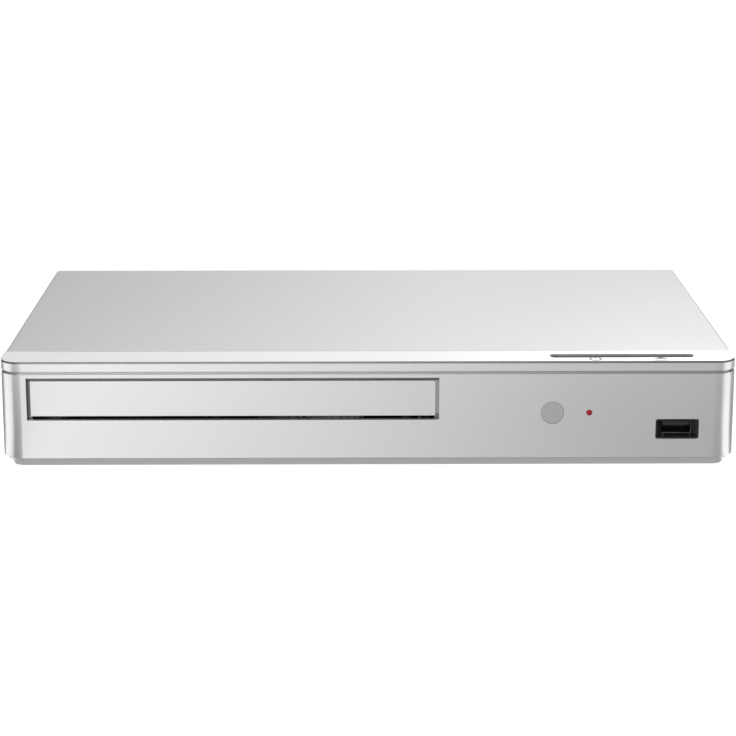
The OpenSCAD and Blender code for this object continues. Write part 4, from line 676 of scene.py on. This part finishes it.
def bezel_black():
    return moulded("bezel_black", (0.006, 0.006, 0.007), 0.3, 1600.0, 10 * MICRON, dust=0.03)


def socket_metal():
    return bright_steel("socket_metal", (0.6, 0.6, 0.61), 0.26)


# Painted shade: a darkened copy of the socket metal, for the shaded inside of the front socket's shell
def dull_metal():
    return bright_steel("dull_metal", (0.05, 0.05, 0.053), 0.42)


def socket_plastic():
    return moulded("socket_plastic", (0.012, 0.012, 0.013), 0.4, dust=0.0)


def key_grey():
    return moulded("key_grey", (0.05, 0.05, 0.053), 0.5, 1700.0, 8 * MICRON, dust=0.0)


# Finishes of the inner pieces

CONDUCTOR_SCALE = 320.0
CONDUCTOR_SHARE = 0.5
CONDUCTOR_GREY = (0.36, 0.34, 0.33)
CONDUCTOR_HEIGHT = 40 * MICRON


def tray_plastic():
    return moulded("tray_plastic", (0.05, 0.05, 0.052), 0.48, 1100.0, 30 * MICRON)


def plunger_grey():
    return moulded("plunger_grey", (0.04, 0.04, 0.043), 0.45, dust=0.0)


def frame_plastic():
    return moulded("frame_plastic", (0.04, 0.04, 0.042), 0.55, 900.0, 40 * MICRON)


def white_plastic():
    return moulded("white_plastic", (0.62, 0.6, 0.55), 0.4, 1300.0, 10 * MICRON)


def belt_rubber():
    return moulded("belt_rubber", (0.009, 0.009, 0.009), 0.7, 800.0, 20 * MICRON)


def board_green():
    return solder_mask("board_green", (0.012, 0.07, 0.028))


def board_brown():
    return solder_mask("board_brown", (0.12, 0.065, 0.022))


def chip_black():
    return moulded("chip_black", (0.012, 0.012, 0.014), 0.42, 1900.0, 10 * MICRON)


def magnet_grey():
    magnet = Finish("magnet_grey", (0.05, 0.05, 0.055), 0.4, 0.55)
    return magnet.surface(tone=0.15).edge_wear_and_highlight((0.2, 0.2, 0.21))


def motor_steel():
    return bright_steel("motor_steel", (0.5, 0.51, 0.53), 0.3)


def pulley_brass():
    return bright_steel("pulley_brass", (0.62, 0.42, 0.14), 0.28)


def rod_steel():
    return bright_steel("rod_steel", (0.66, 0.67, 0.69), 0.14)


def pickup_grey():
    """Cast metal, rubbed bright on its edges."""
    cast = Finish("pickup_grey", (0.16, 0.165, 0.175), 0.85, 0.48)
    cast.surface(grain=1100.0, drift=60.0, rough_grain=0.16, rough_drift=0.14, tone=0.1,
                 height=40 * MICRON)
    return cast.edge_wear_and_highlight((0.4, 0.41, 0.43))


def lens_glass():
    """Small coated lens with a blue cast."""
    glass = Finish("lens_glass", (0.55, 0.72, 0.95), 0.0, 0.05, Transmission_Weight=0.75, IOR=1.5,
                   Coat_Weight=0.6, Coat_Roughness=0.03)
    return glass.surface(drift=300.0, rough_grain=0.01, rough_drift=0.02, tone=0.04,
                         height=0.5 * MICRON)


def ribbon_white():
    """White film cable with its conductors side by side across Y."""
    film = Finish("ribbon_white", (0.6, 0.62, 0.66), 0.0, 0.34, Coat_Weight=0.3, Coat_Roughness=0.2)
    film.surface(drift=70.0, height=6 * MICRON)
    lines = film.tree.nodes.new("ShaderNodeTexWave")
    lines.bands_direction = "Y"
    lines.inputs["Scale"].default_value = CONDUCTOR_SCALE
    film.tree.links.new(own_place(film.tree), lines.inputs["Vector"])
    film.blend_colour(film.scaled(lines.outputs["Fac"], CONDUCTOR_SHARE), CONDUCTOR_GREY)
    film.bump(lines.outputs["Fac"], CONDUCTOR_HEIGHT)
    return film


def sink_aluminium():
    metal = Finish("sink_aluminium", (0.5, 0.51, 0.53), 1.0, 0.38)
    metal.surface(grain=700.0, drift=40.0, rough_grain=0.14, rough_drift=0.1, tone=0.08,
                  height=8 * MICRON)
    return metal.brushed(2000.0, 6 * MICRON, 0.15).dusty(0.15)


def capacitor_sleeve():
    """Dark shrunk sleeve with a soft shine."""
    sleeve = Finish("capacitor_sleeve", (0.012, 0.014, 0.03), 0.0, 0.26, Coat_Weight=0.4,
                    Coat_Roughness=0.12)
    return sleeve.surface(grain=700.0, drift=60.0, rough_grain=0.08, rough_drift=0.1, tone=0.1,
                          height=10 * MICRON)


def coil_yellow():
    tape = Finish("coil_yellow", (0.5, 0.33, 0.02), 0.0, 0.34)
    return tape.surface(grain=500.0, drift=50.0, rough_grain=0.1, rough_drift=0.12, tone=0.12)


FINISHES = [
    cover_silver, panel_silver, trim_silver, door_silver, steel_sheet, rear_sheet, foot_rubber,
    screw_steel, window_grey, lamp_red, bezel_black, socket_metal, dull_metal, socket_plastic, key_grey,
    tray_plastic, plunger_grey, frame_plastic, white_plastic, belt_rubber, board_green, board_brown,
    chip_black, magnet_grey, motor_steel, pulley_brass, rod_steel, pickup_grey, lens_glass,
    ribbon_white, sink_aluminium, capacitor_sleeve, coil_yellow]
MATERIALS = {make.__name__: make().material for make in FINISHES}


# Pieces that come from the frame

# Rounding of the edges, in millimetres
SOFT_EDGE = {"top_cover": 0.25, "front_panel": 0.3, "top_trim": 0.3, "tray_door": 0.3, "disc_tray": 0.3,
             "power_key": 0.12, "eject_key": 0.12, "front_socket_bezel": 0.2, "loader_frame": 0.25,
             "rubber_feet": 0.4, "clamper_bridge": 0.15, "base_plate": 0.12, "rear_panel": 0.12}
DEFAULT_SOFT_EDGE = 0.1
SOFT_EDGE_STEPS = 2
SOFT_EDGE_ANGLE = 35
SHARP_NODES = {"feed_screw", "lens", "drive_belt"}


def dress_frame_nodes():
    """Gives each CAD node its finish and a fine rounding of its edges."""
    for entry in frame["record"]["subparts"]:
        piece = NODES[entry["node"]]
        piece.data.materials.clear()
        piece.data.materials.append(MATERIALS[entry["material_slot"]])
        if entry["node"] in SHARP_NODES:
            continue
        rounding = piece.modifiers.new("soft_edge", "BEVEL")
        rounding.width = SOFT_EDGE.get(entry["node"], DEFAULT_SOFT_EDGE) * MM
        rounding.segments = SOFT_EDGE_STEPS
        rounding.limit_method = "ANGLE"
        rounding.angle_limit = math.radians(SOFT_EDGE_ANGLE)
        rounding.harden_normals = True
        rounding.use_clamp_overlap = True


# Building blocks for the fine pieces

SHARP_ANGLE = 40
TURNED_STEPS = 28
TURN_ONTO = {"Z": Matrix.Identity(3), "Y": Matrix.Rotation(-math.pi / 2, 3, "X")}


def close_rings(build, rings):
    """Joins rings of points, each to the next, and caps the first and the last."""
    build.faces.new(reversed(rings[0]))
    build.faces.new(rings[-1])
    for lower, upper in zip(rings, rings[1:]):
        for i in range(len(lower)):
            j = (i + 1) % len(lower)
            build.faces.new((lower[i], lower[j], upper[j], upper[i]))


def block(build, low, high, ease):
    """A box whose top edges are eased, as moulded packages and stamped covers are."""
    rings = []
    for z, inset in ((low[2], 0.0), (high[2] - ease, 0.0), (high[2], ease)):
        corners = four_corners((low[0] + inset, high[0] - inset), (low[1] + inset, high[1] - inset))
        rings.append([build.verts.new((x, y, z)) for x, y in corners])
    close_rings(build, rings)


def turned(build, profile, place, axis, steps=TURNED_STEPS):
    """A profile of (radius, height) points turned round an axis through a place."""
    rings = []
    for radius, height in profile:
        ring = []
        for i in range(steps):
            angle = 2 * math.pi * i / steps
            point = Vector((radius * math.cos(angle), radius * math.sin(angle), height))
            ring.append(build.verts.new(TURN_ONTO[axis] @ point + Vector(place)))
        rings.append(ring)
    close_rings(build, rings)


def piece_from(build, name, slot, body, smooth=False):
    """Turns a built mesh into a piece with a finish that rides on a body."""
    bmesh.ops.recalc_face_normals(build, faces=build.faces[:])
    mesh = bpy.data.meshes.new(name)
    build.to_mesh(mesh)
    build.free()
    if smooth:
        mesh.shade_smooth()
        mesh.set_sharp_from_angle(angle=math.radians(SHARP_ANGLE))
    piece = bpy.data.objects.new(name, mesh)
    bpy.context.collection.objects.link(piece)
    mesh.materials.append(MATERIALS[slot])
    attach(piece, body)


# Printed marks on the slope in front of the keys

MARK_PEN = 0.7 * MM
MARK_BACK = 2.9 * MM
INK = 0.02 * MM
PEN_OVERLAP = 0.25
# Height over the trim from which its slope is looked for
LOOK_FROM = 10 * MM

POWER_MARK_X = 96 * MM
POWER_RADIUS = 1.8 * MM
POWER_STRETCH = 1.3
POWER_GAP = 35
POWER_STEPS = 20
POWER_BAR_FOOT = 0.45 * MM
POWER_BAR_TOP = 2.16 * MM

EJECT_MARK_X = 123.8 * MM
EJECT_WIDTH = 6.8 * MM
EJECT_BAR_Y = -1.62 * MM
EJECT_FOOT = -0.08 * MM
EJECT_TOP = 2.07 * MM


def stroke(points, width):
    """Quads along a run of points, as a pen of some width draws them."""
    quads = []
    for first, second in zip(points, points[1:]):
        way = (Vector(second) - Vector(first)).normalized() * width / 2
        aside = Vector((-way.y, way.x))
        first, second = Vector(first) - way * PEN_OVERLAP, Vector(second) + way * PEN_OVERLAP
        quads.append([first - aside, second - aside, second + aside, first + aside])
    return quads


def power_mark():
    """Open ring with a bar in its gap."""
    step = (360 - 2 * POWER_GAP) / POWER_STEPS
    arc = [math.radians(POWER_GAP + i * step) for i in range(POWER_STEPS + 1)]
    ring = [(POWER_STRETCH * POWER_RADIUS * math.sin(a), POWER_RADIUS * math.cos(a)) for a in arc]
    bar = [(0, POWER_BAR_FOOT), (0, POWER_BAR_TOP)]
    return stroke(ring, MARK_PEN) + stroke(bar, MARK_PEN)


def eject_mark():
    """Triangle over a bar."""
    half = EJECT_WIDTH / 2
    bar_half = half - MARK_PEN / 2
    triangle = [Vector((-half, EJECT_FOOT)), Vector((half, EJECT_FOOT)), Vector((0, EJECT_TOP))]
    return [triangle] + stroke([(-bar_half, EJECT_BAR_Y), (bar_half, EJECT_BAR_Y)], MARK_PEN)


def print_on_slope(name, outlines, x):
    """Lays flat outlines as a film of ink on the slope of the trim."""
    start = Vector((x, FRONT_Y + MARK_BACK, TOP_Z + LOOK_FROM))
    _, place, normal, _ = NODES["top_trim"].ray_cast(start, Vector((0, 0, -1)))
    across = Vector((1, 0, 0))
    up = normal.cross(across)
    build = bmesh.new()
    for points in outlines:
        flat = [place + across * q.x + up * q.y for q in points]
        close_rings(build, [[build.verts.new(p + normal * rise) for p in flat] for rise in (0, INK)])
    piece_from(build, name, "key_grey", "chassis")


# Ring round the remote control window

WINDOW_SKIRT = 1.12 * MM
RIM_WIDTH = 0.45 * MM
RIM_DEPTH = 0.1 * MM
RIM_STEPS = 64


def window_rim():
    """Fine moulded ring round the remote control window."""
    low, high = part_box("remote_window")
    middle = (low + high) / 2
    outer = (high.x - low.x) / 2 - WINDOW_SKIRT
    inner = outer - RIM_WIDTH
    profile = [(inner, RIM_DEPTH), (inner, 0), (outer, 0), (outer, RIM_DEPTH)]
    build = bmesh.new()
    turned(build, profile, (middle.x, low.y - RIM_DEPTH / 2, middle.z), "Y", RIM_STEPS)
    piece_from(build, "window_rim", "window_grey", "chassis", smooth=True)


# Small parts soldered to the boards

# Each kind: length, width and height in millimetres, finish of its body, and how it is soldered
PART_KINDS = {
    "resistor": (1.6, 0.8, 0.5, "chip_black", "ends"),
    "ceramic": (1.6, 0.9, 0.9, "coil_yellow", "ends"),
    "tantalum": (3.4, 1.8, 1.8, "chip_black", "ends"),
    "driver": (5.0, 3.8, 1.4, "chip_black", "legs"),
    "memory": (9.0, 6.0, 1.1, "chip_black", "legs"),
    "inductor": (4.4, 4.4, 2.4, "magnet_grey", "ends"),
    "crystal": (5.0, 3.2, 1.2, "screw_steel", "ends"),
}
COMMON = (["resistor"] * 7 + ["ceramic"] * 6 + ["tantalum"] * 2 + ["driver"] * 2
          + ["inductor", "crystal", "memory"])
BODY_LIFT = 0.1 * MM
BODY_EASE = 0.08 * MM
# Metal ends: share of the body's length, how far they stand proud beside and above it, and easing
END_SHARE = 0.2
END_PROUD = 0.03 * MM
END_ABOVE = 0.02 * MM
END_EASE = 0.05 * MM
# Legs: spacing, reach, half width, rise as a share of the body's height, and easing
LEG_PITCH = 1.27 * MM
LEG_OUT = 0.7 * MM
LEG_HALF = 0.2 * MM
LEG_RISE = 0.5
LEG_EASE = 0.1 * MM
# The grid that the parts stand on, how far off its points they are, as a share of a cell, and the
# share of parts that lie along Y
CELL = 4.6 * MM
CELL_DRIFT = 0.12
UPRIGHT_SHARE = 0.5
EDGE_MARGIN = 4 * MM
CLEARANCE = 1.2 * MM


class Soldered:
    """Small parts of one board, gathered by finish into a few meshes."""

    def __init__(self, board, standing, seed):
        self.board = board
        self.low, self.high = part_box(board)
        self.taken = [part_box(node) for node in standing]
        self.chance = random.Random(seed)
        self.builds = {}

    def build(self, slot):
        """The mesh under construction that gathers all parts of one finish."""
        if slot not in self.builds:
            self.builds[slot] = bmesh.new()
        return self.builds[slot]

    def is_free(self, low, high):
        """Whether a rectangle lies on the board, clear of all that stands there."""
        inside = all(self.low[i] + EDGE_MARGIN < low[i] and high[i] < self.high[i] - EDGE_MARGIN
                     for i in (0, 1))
        clear = all(any(high[i] + CLEARANCE < a[i] or low[i] - CLEARANCE > b[i] for i in (0, 1))
                    for a, b in self.taken)
        return inside and clear

    def add(self, kind, x, y, upright):
        """Solders one part on, where there is room for it."""
        length, width, height, slot, joint = PART_KINDS[kind]
        along = 1 if upright else 0
        size = Vector((length, length)) * MM
        size[1 - along] = width * MM
        centre = Vector((x, y))
        low, high = centre - size / 2, centre + size / 2
        if not self.is_free(low, high):
            return
        self.taken.append((low, high))
        base, top = self.high.z, self.high.z + height * MM
        block(self.build(slot), (*low, base + BODY_LIFT), (*high, top), BODY_EASE)
        if joint == "ends":
            self.add_ends(low, high, base, top, along)
        else:
            self.add_legs(centre, size, base, (top - base) * LEG_RISE, along)

    def add_ends(self, low, high, base, top, along):
        """Metal caps over both ends of a part."""
        reach = (high[along] - low[along]) * END_SHARE
        for start, end in ((low[along] - END_PROUD, low[along] + reach),
                           (high[along] - reach, high[along] + END_PROUD)):
            a, b = low.copy(), high.copy()
            a[along], b[along] = start, end
            a[1 - along] -= END_PROUD
            b[1 - along] += END_PROUD
            block(self.build("socket_metal"), (*a, base), (*b, top + END_ABOVE), END_EASE)

    def add_legs(self, centre, size, base, rise, along):
        """A row of legs along both long sides of a part."""
        count = int(size[along] / LEG_PITCH)
        half = Vector((LEG_HALF, LEG_HALF))
        half[1 - along] = LEG_OUT / 2
        for n in range(count):
            for side in (-1, 1):
                leg = centre.copy()
                leg[along] += (n - (count - 1) / 2) * LEG_PITCH
                leg[1 - along] += side * (size[1 - along] + LEG_OUT) / 2
                block(self.build("socket_metal"), (*(leg - half), base), (*(leg + half), base + rise),
                      LEG_EASE)

    def fill(self, share):
        """Goes over the board cell by cell and solders a part into a share of the free cells."""
        rows = int((self.high.y - self.low.y) / CELL)
        columns = int((self.high.x - self.low.x) / CELL)
        for row in range(rows):
            for column in range(columns):
                if self.chance.random() > share:
                    continue
                kind = self.chance.choice(COMMON)
                drift = [self.chance.uniform(-CELL_DRIFT, CELL_DRIFT) * CELL for _ in range(2)]
                x = self.low.x + (column + 0.5) * CELL + drift[0]
                y = self.low.y + (row + 0.5) * CELL + drift[1]
                self.add(kind, x, y, self.chance.random() < UPRIGHT_SHARE)
        return self

    def finish(self):
        for slot, build in self.builds.items():
            piece_from(build, self.board + "_small_parts_" + slot, slot, "chassis")


# What stands on the two boards already, and the mains parts at the front of the power board

MAIN_STANDING = ["processor", "heat_sink", "board_capacitors", "video_socket_shell", "network_socket",
                 "power_harness", "pickup_ribbon"]
MAIN_SEED = 11
MAIN_SHARE = 0.75
POWER_STANDING = ["transformer", "filter_capacitor", "fuse", "ac_inlet", "power_harness"]
POWER_SEED = 5
POWER_SHARE = 0.35
MAINS_STRIP = 22 * MM

FILM_SIZE = Vector((6, 13, 11)) * MM
FILM_IN = Vector((9, 14)) * MM
FILM_EASE = 0.5 * MM

RESISTORS = 4
RESISTOR_IN = Vector((20, 13)) * MM
RESISTOR_PITCH = 5 * MM
RESISTOR_LIFT = 1.7 * MM
RESISTOR_HALF = 3.2 * MM
# One half of the resistor's outline, from its middle: radius and distance in millimetres
RESISTOR_OUTLINE = [(1.05, 1.8), (1.3, 2.4), (1.2, 3.1), (0.4, 3.2)]
LEAD_RADIUS = 0.3 * MM
LEAD_BEND = 4.6 * MM
LEAD_STEPS = 12


def film_capacitor(x, y, base):
    """Boxed mains capacitor: upright box with eased top edges."""
    build = bmesh.new()
    across, along = FILM_SIZE.xy / 2
    block(build, (x - across, y - along, base), (x + across, y + along, base + FILM_SIZE.z), FILM_EASE)
    piece_from(build, "film_capacitor", "coil_yellow", "chassis")


def axial_resistor(number, x, y, base):
    """Resistor with swollen ends lying over the board, and its bent leads."""
    body = bmesh.new()
    outline = [(r, -h) for r, h in reversed(RESISTOR_OUTLINE)] + RESISTOR_OUTLINE
    turned(body, [(r * MM, h * MM) for r, h in outline], (x, y, base + RESISTOR_LIFT), "Y")
    piece_from(body, f"axial_resistor_{number}", "white_plastic", "chassis", smooth=True)
    leads = bmesh.new()
    run = LEAD_BEND - RESISTOR_HALF
    for side in (-1, 1):
        start = y + side * (LEAD_BEND + RESISTOR_HALF) / 2 - run / 2
        for length, place, axis in ((run, (x, start, base + RESISTOR_LIFT), "Y"),
                                    (RESISTOR_LIFT, (x, y + side * LEAD_BEND, base), "Z")):
            turned(leads, [(LEAD_RADIUS, 0), (LEAD_RADIUS, length)], place, axis, LEAD_STEPS)
    piece_from(leads, f"axial_leads_{number}", "socket_metal", "chassis", smooth=True)


def dress_boards():
    """Solders the small parts to both boards, and the mains parts to the power board."""
    Soldered("main_board", MAIN_STANDING, MAIN_SEED).fill(MAIN_SHARE).finish()
    power = Soldered("power_board", POWER_STANDING, POWER_SEED)
    low, high = power.low, power.high
    power.taken.append((low.xy, Vector((high.x, low.y + MAINS_STRIP))))
    film_capacitor(*(low.xy + FILM_IN), high.z)
    x, y = low.xy + RESISTOR_IN
    for number in range(RESISTORS):
        axial_resistor(number, x + number * RESISTOR_PITCH, y, high.z)
    power.fill(POWER_SHARE).finish()


make_camera()
make_studio()
dress_frame_nodes()
print_on_slope("power_mark", power_mark(), POWER_MARK_X)
print_on_slope("eject_mark", eject_mark(), EJECT_MARK_X)
window_rim()
dress_boards()

view = bpy.context.scene.view_settings
view.view_transform = "Standard"
